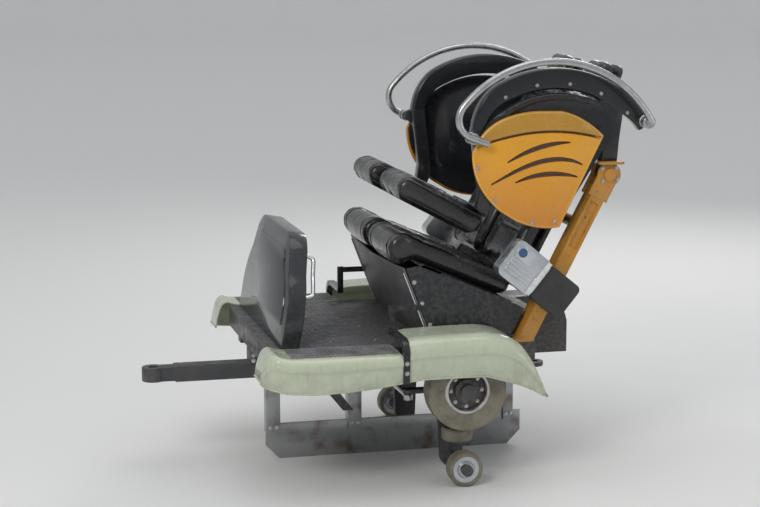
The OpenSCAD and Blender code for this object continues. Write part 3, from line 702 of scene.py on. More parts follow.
def make_metal():
    """Bare metals: the rails, castings, the fin and the bolts."""
    satin = Shade("satin_steel", 0.28, metal=1.0)
    satin.stain(30, 0.4, 0.7, 0.5, (0.34, 0.34, 0.35), 5)
    satin.sheen(700, 0.2, 0.42, 3, (0.1, 1, 0.1)).grain(900, 0.00008, 0.5, 2, (0.1, 1, 0.1))
    cast = Shade("cast_aluminium", 0.34, metal=1.0)
    cast.stain(16, 0.46, 0.74, 0.6, (0.44, 0.46, 0.50), 6)
    cast.sheen(60, 0.24, 0.5, 6).grain(520, 0.0003, 0.6, 5)
    fin = Shade("fin_steel", 0.38, metal=1.0)
    fin.stain(12, 0.5, 0.72, 0.8, (0.16, 0.10, 0.07), 8)
    fin.sheen(500, 0.28, 0.55, 3, (0.05, 1, 1)).grain(600, 0.0002, 0.5, 3, (0.05, 1, 1))
    zinc = Shade("zinc", 0.32, (0.55, 0.55, 0.54), metal=1.0)
    zinc.stain(34, 0.4, 0.7, 0.6, (0.33, 0.32, 0.30), 5).sheen(80, 0.3, 0.46)
    Shade("bright_edge", 0.16, (0.80, 0.81, 0.82), metal=1.0).sheen(120, 0.12, 0.3)


def make_plastics():
    """Plastics and rubbers: panel, covers, treads and tyres."""
    panel = Shade("charcoal", 0.5)
    panel.stain(10, 0.36, 0.68, 0.9, (0.17, 0.165, 0.175), 6, least=0.2)
    panel.stain(300, 0.64, 0.74, 0.5, (0.22, 0.22, 0.22), 4, (1, 0.1, 0.3))
    panel.sheen(40, 0.42, 0.62, 5).pebble(900, 0.0002, 0.4)
    cover = Shade("cover_black", 0.45)
    cover.stain(14, 0.42, 0.7, 0.5, (0.06, 0.058, 0.055), 6)
    cover.sheen(50, 0.36, 0.6, 5).pebble(1200, 0.00018)
    tread = Shade("tread_grey", 0.7)
    tread.stain(14, 0.36, 0.64, 0.9, (0.23, 0.22, 0.23), 8, least=0.2)
    tread.sheen(60, 0.55, 0.85, 6).grain(900, 0.0003, 0.6)
    tyre = Shade("tyre_tan", 0.5)
    tyre.stain(20, 0.42, 0.68, 0.75, tyre.darker(0.5), 7)
    tyre.stain(120, 0.6, 0.72, 0.6, (0.05, 0.045, 0.035), 5, (1, 0.2, 1))
    tyre.sheen(60, 0.4, 0.65, 6).grain(260, 0.0004, 0.5, 5)
    # Painted reflection: the blue on the lock caps stands in for the sky reflected in the lock housings.
    Shade("sky_reflection_blue", 0.22, (0.03, 0.09, 0.22), coat=0.4).sheen(60, 0.18, 0.35)
    Shade("white_band", 0.35, (0.74, 0.75, 0.74)).stain(60, 0.5, 0.72, 0.6, (0.42, 0.41, 0.38), 6)


class CarPiece:
    """What the operators share."""

    bl_options = {"REGISTER", "UNDO"}

    def execute(self, context):
        self.build(context.scene.car_sizes)
        return {"FINISHED"}


class COASTER_OT_finishes(CarPiece, bpy.types.Operator):
    """Makes the procedural materials"""

    bl_idname = "coaster.finishes"
    bl_label = "Finishes"

    def build(self, sizes):
        for make in (make_vinyl, make_gelcoat, make_black_shells, make_paint, make_metal, make_plastics):
            make()


class COASTER_OT_stage(CarPiece, bpy.types.Operator):
    """Sets up the camera, the pale floor and the studio light"""

    bl_idname = "coaster.stage"
    bl_label = "Stage"

    aim = Vector((0.0, 0.0, 0.88))
    azimuth, elevation, distance = math.radians(166), math.radians(9.5), 8.2

    def build(self, sizes):
        scene = bpy.context.scene
        scene.view_settings.view_transform = "Standard"
        level = math.cos(self.elevation)
        back = Vector(
            (math.sin(self.azimuth) * level, -math.cos(self.azimuth) * level, math.sin(self.elevation))
        )
        camera = linked("camera", bpy.data.cameras.new("camera"))
        camera.data.lens = 90
        camera.location = self.aim + back * self.distance
        camera.rotation_euler = back.to_track_quat("Z", "Y").to_euler()
        scene.camera = camera
        self.sweep()
        self.lights(scene)

    def sweep(self):
        """A pale floor that curves up far away on every side."""
        reach, rise = 34, 14
        profile = [(0.0, 0.0), (3.0, 0.0), (12.0, 0.0), (reach, 0.0)]
        for t in np.linspace(0.1, math.pi / 2, 14):
            profile.append((reach + rise * math.sin(t), rise * (1 - math.cos(t))))
        turn = np.linspace(0, 2 * math.pi, 96, endpoint=False)
        rows = [
            [(r * math.cos(t), r * math.sin(t), z - 0.0002) for t in turn]
            for r, z in profile + [(reach + rise, 40.0)]
        ]
        mesh = mesh_of("floor", [p for row in rows for p in row], grid(rows, wrap=True))
        Shade("studio_floor", 0.75, (0.80, 0.80, 0.79)).sheen(3, 0.7, 0.85)
        mesh.materials.append(finishes["studio_floor"])
        mesh.polygons.foreach_set("use_smooth", [True] * len(mesh.polygons))
        obj = linked("floor", mesh)

    def lights(self, scene):
        """A large key over the camera's shoulder, a sky panel, a fill and a rim."""
        rows = (
            ("key", (4.4, 5.4, 5.2), 2.2, 170.0, (1.0, 0.97, 0.92)),
            ("sky", (-0.4, 0.6, 5.6), 3.0, 34.0, (0.95, 0.97, 1.0)),
            ("fill", (-6.0, 4.4, 2.4), 2.6, 36.0, (0.94, 0.97, 1.0)),
            ("rim", (-3.6, -5.2, 4.2), 2.4, 90.0, (1.0, 0.98, 0.95)),
        )
        for name, spot, size, power, colour in rows:
            lamp = bpy.data.lights.new(name, "AREA")
            lamp.energy, lamp.size, lamp.color = power, size, colour
            obj = linked(name, lamp)
            obj.location = spot
            obj.rotation_euler = (Vector(spot) - self.aim).to_track_quat("Z", "Y").to_euler()
        world = bpy.data.worlds.new("studio")
        world.use_nodes = True
        sky = world.node_tree.nodes["Background"].inputs
        sky[0].default_value, sky[1].default_value = (0.90, 0.92, 0.95, 1), 0.74
        scene.world = world


class COASTER_OT_chassis(CarPiece, bpy.types.Operator):
    """Finishes the frame, the couplings, the fin and the floor"""

    bl_idname = "coaster.chassis"
    bl_label = "Chassis"

    def build(self, sizes):
        rows = (
            ("chassis_frame", "chassis_black", 2.0),
            ("tongue", "dark_steel", 1.6),
            ("rear_hitch", "dark_steel", 1.2),
            ("brake_fin", "fin_steel", 0.6),
            ("antirollback_dog", "dark_steel", 0.5),
            ("axle_beam", "dark_steel", 1.6),
            ("floor_pan", "floor_plate", 0.8),
            ("cross_tube", "post_amber", 0.8),
        )
        for node, slot, edge in rows:
            dressed(node, slot, sizes.edge * edge)
        self.plate_pattern()

    def plate_pattern(self):
        """Anti-slip lozenges on the floor between the bulkhead and the calf panel."""
        pitch, points, sides = 0.026, [], []
        low, high = at(262, -455, 180), at(650, 455, 180)
        for i, x in enumerate(np.arange(low.x, high.x, pitch)):
            for j, y in enumerate(np.arange(low.y, high.y, pitch)):
                points.append((x, y, low.z))
                sides.append((-1.0) ** (i + j))
        seed = mesh_of("plate", points, [])
        seed.attributes.new("side", "FLOAT", "POINT").data.foreach_set("value", sides)
        mesh = lozenge_tree().grow(seed, Pitch=pitch, Material=finishes["floor_plate"])
        place("floor_lozenges", soften(mesh, 60), "chassis", "floor_plate")


class COASTER_OT_running_gear(CarPiece, bpy.types.Operator):
    """Finishes the knuckles, the tie rod and the wheels"""

    bl_idname = "coaster.running_gear"
    bl_label = "Running gear"

    def build(self, sizes):
        for side, out in SIDES:
            dressed(f"knuckle_{side}", "dark_steel", sizes.edge * 0.8)
            self.road_wheel(f"road_wheel_{side}", out)
            self.small_wheel(f"guide_wheel_{side}", "Z", 65, 30, 30, 13.1)
            self.small_wheel(f"upstop_wheel_{side}", "Y", 72.5, 35, 34, 18.1)
        dressed("tie_rod", "satin_steel", sizes.edge * 0.5)

    def turned(self, node, part, profile, segments, angle, slot, axis="Y", **more):
        """Places one turned part of a wheel."""
        name = f"{node}_{part}"
        mesh = revolve(name, profile, sum(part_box(node), Vector()) / 2, axis, segments)
        place(name, soften(mesh, angle), node, slot, **more)

    def road_wheel(self, node, out):
        """Polyurethane tread on a dished steel rim with a bolted hub."""
        r, half_w, shoulder = 165, 45, 9
        tread = [(96, -42), (104, -44), (150, -44)]
        tread += arc((r - shoulder, shoulder - half_w), shoulder, -90, 0, 5) + [(r, -20), (r, 20)]
        tread += arc((r - shoulder, half_w - shoulder), shoulder, 0, 90, 5)
        tread += [(150, 44), (104, 44), (96, 42)]
        rim = [(78, -40), (83, -44), (92, -44), (96, -41), (96, 41), (92, 44), (83, 44), (80, 41)]
        rim += [(76, 30 * out + 4), (76, 30 * out - 4)]
        web = [(27, -19), (76, -19), (80, -16), (80, 16), (76, 19), (27, 19)]
        hub = [(27, -41), (50, -41), (52, -38), (52, 38), (50, 41), (27, 41)]
        self.turned(node, "tyre", tread, 120, 40, "tyre_tan", stands_for=[node])
        self.turned(node, "rim", rim, 96, 35, "satin_steel", finish="zinc")
        self.turned(node, "web", web, 72, 35, "dark_steel")
        self.turned(node, "hub", hub, 72, 35, "dark_steel")
        x, y, h = (sum(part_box(node), Vector()) / 2 - AXLE) / MM
        circle = arc((x, h), 66, 0, 315, 7)
        bolts(node + "_bolts", [(a, y + 20 * out, b, 0, out, 0) for a, b in circle], node, 0.0058)

    def small_wheel(self, node, axis, r, w, hub, bore):
        """A small polyurethane wheel on a waisted hub."""
        inner = r - 17
        tread = [(inner, -w + 3), (r - 7, -w + 3), (r - 1, -w + 9), (r, -w + 14), (r, w - 14)]
        tread += [(r - 1, w - 9), (r - 7, w - 3), (inner, w - 3)]
        core = [(bore, -w), (hub - 3, -w), (hub, -w + 3), (hub + 3, -w + 10), (inner, -w + 8)]
        core += [(inner, w - 8), (hub + 3, w - 10), (hub, w - 3), (hub - 3, w), (bore, w)]
        self.turned(node, "tyre", tread, 64, 40, "tyre_tan", axis, stands_for=[node])
        self.turned(node, "core", core, 48, 30, "cast_aluminium", axis)


def interpolated(line, x):
    """Value of a line of (x, value) points at x."""
    return float(np.interp(x, *np.array(sorted(line)).T))


class COASTER_OT_fenders(CarPiece, bpy.types.Operator):
    """Builds the fender mouldings, their edge beads, straps and treads"""

    bl_idname = "coaster.fenders"
    bl_label = "Fenders"

    inner_y, outer_y = 489.3, 720
    tread_y = (505, 668)

    def build(self, sizes):
        out = self.outer_y
        rear_low = bend((-296, -14), (-230, 28), (-150, 50)) + bend((-60, 76), (20, 80), (225, 78))
        rear_low += [(250, 72), (266, 72)]
        rear_top = [(265.7, 238)] + bend((235, 243), (120, 250), (-60, 249), 20)
        rear_top += bend((-60, 249), (-150, 243), (-205, 198))
        rear_top += bend((-205, 198), (-262, 150), (-311, -18), 24)
        front_low = bend((292, 68), (450, 45), (600, 41)) + bend((600, 41), (760, 40), (838, 66))
        front_low += [(847, 72), (853, 82)]
        front_top = [(292.3, 182), (400, 182), (520, 182), (640, 182), (738, 183.6)]
        front_top += bend((738, 183.6), (774, 187), (790, 197), 8)
        front_top += bend((790, 197), (824, 203), (837, 158), 10)
        front_top += bend((837, 158), (851, 122), (852.5, 84), 10)
        plan = [(292, out), (640, out)] + bend((640, out), (838, 722), (862, 596), 20)
        self.shell("rear_fender_{}", rear_top, rear_low, [(-400, out), (300, out)], 70, sizes)
        self.shell("front_fender_{}", front_top, front_low, plan, 34, sizes)
        dressed("fender_straps", "black_moulding", sizes.edge)
        self.braces()
        self.treads(sizes)

    def braces(self):
        """Flat braces from the straps to the side of the seat."""
        outline = ((104, 314), (265.6, 314), (265.6, 338), (112, 338))
        parts = [
            prism("brace", [at(x, 470.6 * sign, h) for x, h in outline], (0, 0.006 * sign, 0))
            for _, sign in SIDES
        ]
        place("strap_braces", soften(joined("braces", parts)), "chassis", "black_moulding")

    def section(self, top, low, outer, shoulder):
        """Cross-section of a fender: flat, rounded shoulder, ledge and skirt."""
        depth = max(top - low, 0.5)
        r = min(shoulder, depth * 0.48)
        ledge = min(7.0, depth * 0.06)
        points = [(self.inner_y + (outer - r - self.inner_y) * k / 6, top) for k in range(6)]
        points += arc((outer - r, top - r), r, 90, 0, 14)
        line = min(top - r - 1.2 * ledge, low + depth * 0.62)
        points += [(outer, line + ledge * 0.6), (outer - ledge * 0.35, line), (outer - ledge, line - ledge)]
        for t in np.arange(1, 9) / 8:
            points.append((outer - ledge - 5 * t - 4 * t * t, (line - ledge) * (1 - t) + low * t))
        return points

    def shell(self, name, top, low, plan, shoulder, sizes):
        """A fender wall lofted through its sections, with a bead along the skirt."""
        rows = []
        for x, h in top:
            section = self.section(h, interpolated(low, x), interpolated(plan, x), shoulder)
            rows.append([at(x, y, z) for y, z in section])
        edge = [row[-1] for row in rows] + rows[-1][-2::-1]
        mesh = outward(mesh_of("fender", [p for row in rows for p in row], grid(rows)), 1e-5)
        middle = rows[len(rows) // 3][3]
        if min(mesh.polygons, key=lambda f: (f.center - middle).length).normal.z < 0:
            mesh.flip_normals()
        wall = applied(mesh, "SOLIDIFY", thickness=sizes.moulding, offset=-1.0)
        bead = tubes([edge], 0.0042, 10, "fender_sage")
        both = joined("fender", [wall, bead])
        both_sides(name + "_finish", both, "chassis", "fender_sage", node=name, angle=50)

    def treads(self, sizes):
        """Ribbed rubber let into both running boards."""
        dressed("treads", "tread_grey", 0.0012)
        low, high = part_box("treads")
        margin, side = 0.012, 8
        inner, outer = (self.tread_y[0] + side) * MM, (self.tread_y[1] - side) * MM
        pitch = (high.x - low.x - 2 * margin) / (sizes.ribs - 1)
        seed = mesh_of("ribs", [(low.x + margin, s * (inner + outer) / 2, high.z) for _, s in SIDES], [])
        values = {"Count": sizes.ribs, "Pitch": pitch, "Length": outer - inner}
        mesh = rib_tree().grow(seed, **values, Material=finishes["tread_grey"])
        place("tread_ribs", soften(mesh, 40), "chassis", "tread_grey")


class COASTER_OT_tub(CarPiece, bpy.types.Operator):
    """Finishes the seat box, the calf panel, the shell and the bulkhead"""

    bl_idname = "coaster.tub"
    bl_label = "Seat tub"

    def build(self, sizes):
        dressed("seat_base", "black_moulding", sizes.edge)
        dressed("calf_panel", "charcoal", sizes.edge * 0.8)
        dressed("seat_back_shell", "black_moulding", sizes.edge * 2)
        dressed("front_bulkhead", "bulkhead_gloss", sizes.edge * 3)
        strips = tubes([[at(120, y, 190), at(228, y, 470)] for y in (-466, 466)], 0.0028, 10, "bright_edge")
        place("calf_edge_strips", soften(strips), "chassis", "satin_steel", "bright_edge")
        self.bulkhead_grips()

    def bulkhead_grips(self):
        """A bright grip that stands off the rear of the bulkhead's rim, one at each side."""
        off, round_end, rear = 30.0, 24.0, -74
        line = bend((486, 110), (486, 210), (393.6, 296.8), 40)[23:]
        line = np.array(line + bend((393.6, 296.8), (372, 336), (350, 377), 14))
        way = np.concatenate(([0], np.cumsum(np.linalg.norm(np.diff(line, axis=0), axis=1))))
        to_end = np.minimum(np.minimum(way, way[-1] - way), round_end) / round_end
        out = off * np.sqrt(1 - (1 - to_end) ** 2)
        lines = [
            [BULKHEAD.point(rear - o, y * sign, up) for (y, up), o in zip(line, out)] for _, sign in SIDES
        ]
        mesh = tubes(lines, 0.0085, 16, "bright_edge")
        place("bulkhead_grips", soften(mesh, 60), "chassis", "cast_aluminium", "bright_edge")


class COASTER_OT_wings(CarPiece, bpy.types.Operator):
    """Builds the yellow wings and the black liners behind them"""

    bl_idname = "coaster.wings"
    bl_label = "Wings"

    inner_y, outer_y = WING_Y
    bends, groove_steps = 84, 90
    wall = -6.6
    rim_line = ((-56, 984), (-330, 1090), (-606, 1006))
    grooves = (
        ((-188, 922), (-322, 998), (-452, 996)),
        ((-124, 832), (-365, 979), (-511, 902)),
        ((-222, 838), (-350, 892), (-490, 852)),
    )

    def build(self, sizes):
        self.wing(sizes)
        self.liner()

    def outline(self, t=0):
        """Side view of a wing, inset by t millimetres."""
        n = self.bends
        parts = (
            ((-420 + 0.62 * t, 645 + t), (-330, 630 + t), (-230, 676 + t)),
            ((-163 - t, 718 + t), (-40 - t, 820 + t), (-42 - t, 962)),
            ((-56 - t, 990 - t), (-120 - t, 1124 - t), (-330, 1126 - t)),
            ((-420, 1124 - t), (-520, 1104 - t), (-606 + t, 1018)),
        )
        points = []
        for part, following, share in zip(parts, parts[1:] + parts[:1], (0.2, 0.08, 0.28, 1.2)):
            points += bend(*part, n)
            steps = max(2, int(n * share))
            for i in range(1, steps):
                points.append(tuple(a + (b - a) * i / steps for a, b in zip(part[2], following[0])))
        return points

    def half_width(self, along):
        """Half the width of a groove, from 0 at its first end to 1 at its last."""
        return 3.0 + 7.9 * np.sin(np.pi * np.clip(along, 0, 1)) ** 0.9

    def relief(self, x, h, inset, sizes):
        """Height of the wing over its plane, and for the painted shade how far it lies in the rim and how
        far in a groove or the ditch under the rim.
        """
        crown = sizes.crown / MM * (1 - (1 - step(inset, 0.0, 170.0)) ** 2)
        fold = np.array(sorted(bend(*self.rim_line, 60)))
        above = h - np.interp(x, fold[:, 0], fold[:, 1])
        share = np.clip(above / np.maximum(above + inset, 1.0), 0, 1)
        rim = np.where(above > 0, np.sin(np.pi * share) ** 0.6, 0) * np.clip((above + inset) / 60.0, 0, 1)
        ditch = bell(above, -2.0, 5.0) * step(inset, 3.0, 12.0)
        edge = 2.6 * bell(inset, 6.0, 3.4) - 3.0 * (1 - step(inset, 0.0, 5.0))
        cut = np.zeros_like(x)
        for groove in self.grooves:
            line = np.array(bend(*groove, self.groove_steps))
            gap = np.hypot(x[:, None] - line[None, :, 0], h[:, None] - line[None, :, 1])
            half = self.half_width(gap.argmin(axis=1) / self.groove_steps)
            cut = np.maximum(cut, np.clip(1 - (gap.min(axis=1) / half) ** 2, 0, 1) ** 0.6)
        high = crown + sizes.rim / MM * rim + edge - 7.0 * ditch - sizes.groove / MM * cut
        # The third mask adds the ditch under the rim to the grooves, for the painted shadow there.
        return high, (above > -1) * step(inset, -1.0, 4.0), np.maximum(cut, 0.62 * ditch)

    def depth_in(self, x, h):
        """How far points lie inside the outline; negative outside it."""
        edge = self.outline()
        near, crossed = np.full(len(x), 1e9), np.zeros(len(x), int)
        for (ax, ah), (bx, bh) in zip(edge, edge[1:] + edge[:1]):
            dx, dh = bx - ax, bh - ah
            t = np.clip(((x - ax) * dx + (h - ah) * dh) / (dx * dx + dh * dh), 0, 1)
            near = np.minimum(near, np.hypot(x - ax - t * dx, h - ah - t * dh))
            if dh:
                crossed += ((ah > h) != (bh > h)) & (x < ax + (h - ah) * dx / dh)
        return np.where(crossed % 2, near, -near)

    def spots(self):
        """Where the face has its points: rows along edge, fold and grooves, and a grid between."""
        rows = [p for t in (0.8, 2, 4, 7, 11, 16, 23, 31, 40, 50) for p in self.outline(t)]
        fold = bend(*self.rim_line, 180)
        for lift in (-14, -9, -6, -4, -2, -0.8, 0, 0.8, 2, 4, 7, 11, 16):
            rows += [(x, h + lift) for x, h in fold]
        half = self.half_width(np.linspace(0, 1, self.groove_steps + 1))[:, None]
        for groove in self.grooves:
            line = np.array(bend(*groove, self.groove_steps))
            way = np.gradient(line, axis=0)
            way /= np.linalg.norm(way, axis=1, keepdims=True)
            side = np.stack((-way[:, 1], way[:, 0]), axis=1)
            for share in (-1.5, -1.15, -1.0, -0.9, -0.7, -0.4, 0, 0.4, 0.7, 0.9, 1.0, 1.15, 1.5):
                rows += [tuple(p) for p in line + side * half * share]
            for tip, ahead in ((line[0], -way[0]), (line[-1], way[-1])):
                turn = math.degrees(math.atan2(ahead[1], ahead[0]))
                for r in (1.2, 2.4, 3.6):
                    rows += arc(tip, r, turn - 60, turn + 60, 4)
        rows = np.array(rows)
        rows = rows[self.depth_in(*rows.T) > 0.5]
        grid_x, grid_h = np.meshgrid(np.arange(-610, -38, 5.0), np.arange(632, 1128, 4.6))
        grid_x[1::2] += 2.5
        free = np.stack((grid_x.ravel(), grid_h.ravel()), axis=1)
        free = free[self.depth_in(*free.T) > 3.0]
        tree = KDTree(len(rows))
        for i, (x, h) in enumerate(rows):
            tree.insert((x, h, 0), i)
        tree.balance()
        free = [p for p in free if tree.find((*p, 0))[2] > 2.6]
        return [Vector(p) for p in [*rows, *free]]

    def wing(self, sizes):
        """The embossed face, closed by a wall of rings behind it."""
        edge = [Vector(p) for p in self.outline()]
        count = len(edge)
        flat, _, faces, *_ = delaunay_2d_cdt(edge + self.spots(), [], [range(count)], 1, 0.02, False)
        x, h = np.array(flat).T
        inset = np.maximum(self.depth_in(x, h), 0)
        inset[inset < 0.3] = 0
        high = self.relief(x, h, inset, sizes)[0]
        face = mesh_of("face", [at(a, self.outer_y + b, c) for a, b, c in zip(x, high, h)], faces)
        lip = self.relief(*np.array(edge).T, np.zeros(count), sizes)[0]
        rings = [[at(p.x, self.outer_y + b, p.y) for p, b in zip(edge, lip)]]
        for t, y in ((0, -3.4), (1, -5.4), (3, self.wall), (30, self.wall), (70, self.wall)):
            rings.append([at(a, self.outer_y + y, c) for a, c in self.outline(t)])
        points = [p for ring in rings for p in ring] + [at(-330, self.outer_y + self.wall, 900)]
        hub, base = len(points) - 1, count * (len(rings) - 1)
        walls = grid(rings, wrap=True) + [(hub, base + j, base + (j + 1) % count) for j in range(count)]
        mesh = outward(joined("wing", [face, mesh_of("wall", points, walls)]))
        self.mark(mesh, sizes)
        both_sides("wing_{}_finish", mesh, "chassis", "wing_yellow", node="wing_{}", angle=60)

    def mark(self, mesh, sizes):
        """Stores how far each point lies in the rim, in a groove or the ditch under the rim, and on the
        lip, for the painted shade and the painted highlight.
        """
        x, y, h = ((vectors(mesh) - np.array(AXLE)) / MM).T
        inset = np.maximum(self.depth_in(x, h), 0)
        _, rim, cut = self.relief(x, h, inset, sizes)
        front = y > self.inner_y + 4
        for name, values in (("rim", rim), ("groove", cut), ("lip", bell(inset, 5.5, 3.6))):
            layer = mesh.attributes.new(name, "FLOAT", "POINT")
            layer.data.foreach_set("value", (values * front).astype(np.float32))

    def liner_outline(self, t):
        """Side view of the liner, which runs on up to the inside of the arch."""
        points = bend((-412 + 0.55 * t, 655 + t), (-330, 638 + t), (-236 - t, 684 + t), 20)
        points += bend((-170 - t, 726 + t), (-50 - t, 828 + t), (-50 - t, 962), 30)
        points += bend((-62 - t, 990), (-92 - t, 1070 - t), (-160 - t, 1120 - t), 20)
        points += arc(ARCH_MIDDLE, 414 - t, 60, 116, 40)
        points += bend((-606 + t, 1132 - t), (-640 + t, 1096 - t), (-646 + t, 1052), 14)
        return points + bend((-640 + t, 1000), (-620 + t, 975), (-606 + t, 960), 8)

    def liner(self):
        """A glossy black pad: rolled over the wing's top, domed towards the rider."""
        inner, outer = 511.0, 519.0
        rings = []
        for t, out in ((90, 0), (60, 0), (40, 0), (30, 2), (24, 5), (16, 8), (8, 8), (3, 5), (0, 0)):
            x, h = np.array(self.liner_outline(t)).T
            roll = step(h - 1118 + 0.10 * (x + 330), -8.0, 24.0) * out * 2.2
            rings.append([at(a, outer + b, c) for a, b, c in zip(x, roll, h)])
        for t, y in ((0, -4), (1.5, -7), (5, -8)):
            rings.append([at(x, outer + y, h) for x, h in self.liner_outline(t)])
        last, middle = np.array(self.liner_outline(5)), np.array((-366.0, 930.0))
        for k in range(1, 30):
            x, h = (middle + (last - middle) * (1 - k / 30)).T
            lift = 34 * step(x, -566.0, -500.0) * (1 - step(x, -232.0, -172.0)) * step(k / 30, 0.08, 0.7)
            lift *= 1 - step(np.hypot(x - ARCH_MIDDLE[0], h - ARCH_MIDDLE[1]), 330.0, 396.0)
            rings.append([at(a, inner - b, c) for a, b, c in zip(x, lift, h)])
        mesh = ring_shell("liner", rings)
        both_sides(
            "wing_liner_{}_finish", mesh, "chassis", "black_moulding", node="wing_liner_{}", angle=70
        )


class COASTER_OT_posts(CarPiece, bpy.types.Operator):
    """Finishes the restraint posts and the lock units"""

    bl_idname = "coaster.posts"
    bl_label = "Posts and locks"

    def build(self, sizes):
        for side, _ in SIDES:
            dressed(f"post_{side}", "post_amber", sizes.edge)
        dressed("lock_housings", "cast_aluminium", sizes.edge * 3)
        dressed("lock_covers", "cover_black", sizes.edge * 2.4)
        reach = math.dist(LOCK_FOOT, LOCK_HEAD)
        low, high = reach * 0.48 + 6, reach * 0.48 + 24
        band = ((low, -79), (high, -79), (high, 79), (low, 79))
        # Painted reflection: a blue disc near the head of each lock housing, where the sky's reflection
        # shows.
        cap = arc((reach - 42, 42), 19, 0, 352.5, 47)
        rows = (
            ("lock_bands", band, 596.6, 0.0012, "cast_aluminium", "white_band", 0.0005),
            ("lock_reflection_caps", cap, 599.6, 0.005, "cover_black", "sky_reflection_blue", 0.002),
        )
        for name, outline, y, thick, slot, finish, edge in rows:
            parts = [
                prism(name, [LOCK.point(a, y * sign, b) for a, b in outline], (0, thick * sign, 0))
                for _, sign in SIDES
            ]
            mesh = bevelled(joined(name, parts), edge, 3, 0.8)
            place(name, soften(mesh, 45), "chassis", slot, finish)


class COASTER_OT_arms(CarPiece, bpy.types.Operator):
    """Builds the arches, their legs and the grab rails"""

    bl_idname = "coaster.arms"
    bl_label = "Restraint arms"

    half_w = 29
    arch = (((-267.8, 1032.7), 187, 5, 61, 26), (ARCH_MIDDLE, 470, 62, 146, 60))
    rear_leg = (
        (-672, 855), (-600, 855), (-616, 1010), (-600, 1168), (-640, 1192), (-700, 1120), (-684, 1000)
    )
    front_leg = (
        (-50, 1052), (-110, 1052), (-128, 900), (-142, 760), (-118, 700), (-72, 724), (-84, 800), (-66, 930)
    )
    web = ((-70, 1056), (-104, 960), (-60, 985), (-26, 1008), (-30, 1042))

    def build(self, sizes):
        self.arm()
        self.rail()

    def arm(self):
        """The arch as one band that grows deeper towards the top, with its two legs."""
        rows = []
        for centre, r, a0, a1, n in self.arch:
            for k, (x, h) in enumerate(arc(centre, r, a0, a1, n)):
                turn = a0 + (a1 - a0) * k / n
                outer = 30 + 14 * float(step(turn, 10.0, 80.0))
                inner = outer - 22 * float(step(turn, 122.0, 146.0))
                nx, nh = (x - centre[0]) / r, (h - centre[1]) / r
                section = rounded((-inner, -self.half_w), (outer, self.half_w), 12, 5)
                rows.append([at(x + d * nx, ARM_Y + w, h + d * nh) for d, w in section])
        parts = ((self.rear_leg, 448, 0.054), (self.front_leg, 448, 0.054), (self.web, 482, 0.022))
        legs = [prism("leg", [at(x, y, h) for x, h in line], (0, wide, 0)) for line, y, wide in parts]
        carrier = [LAP.point(a, 150, b) for a, b in ((40, 0.6), (110, 0.6), (110, 12), (40, 12))]
        legs.append(prism("carrier", carrier, (0, 0.300, 0)))
        legs = bevelled(joined("legs", legs), 0.007, 3, 0.4)
        profile = [(16.5, -29), (36, -29), (40, -25), (40, 25), (36, 29), (16.5, 29)]
        boss = revolve("boss", profile, at(PIVOT[0], ARM_Y, PIVOT[1]))
        mesh = joined("arm", [ring_shell("arch", rows), legs, boss])
        both_sides("arm_{}_finish", mesh, "restraint_{}", "arm_black", node="arm_{}", angle=40)

    def rail(self):
        """A thin steel hoop with a collar at each of its two feet."""
        start = arc((-53.3, 1101.6), 80, -70, 40, 22)
        top = arc((-367.4, 838.0), 490, 40, 152, 64)
        (x0, h0), heading = start[0], math.radians(20)
        tail = [(x0 - d * math.cos(heading), h0 - d * math.sin(heading)) for d in (75, 50, 25)]
        line = [at(x, RAIL_Y, h) for x, h in tail + start + top[1:]]
        hoop = tubes([line], 0.0148, 20, "satin_steel")
        (front_x, front_h), (rear_x, rear_h) = RAIL_FEET
        feet = [
            [at(front_x, 503.5, front_h), at(front_x, RAIL_Y, front_h)],
            [at(rear_x, 503.5, rear_h), at(rear_x, RAIL_Y + 6, rear_h)],
        ]
        mesh = joined("rail", [hoop, tubes(feet, 0.0150, 20, "satin_steel")])
        both_sides(
            "grab_rail_{}_finish", mesh, "restraint_{}", "satin_steel", node="grab_rail_{}", angle=50
        )
        collars = []
        for (x, h), r in zip(RAIL_FEET, (24, 27)):
            profile = [(10, -4), (r - 2, -4), (r, -2), (r, 10), (r - 3, 13), (10, 13)]
            collars += [revolve("collar", profile, at(x, y, h), "Y", 40) for y in (508, 552)]
        both_sides("rail_collars_{}", joined("collars", collars), "restraint_{}", "satin_steel")


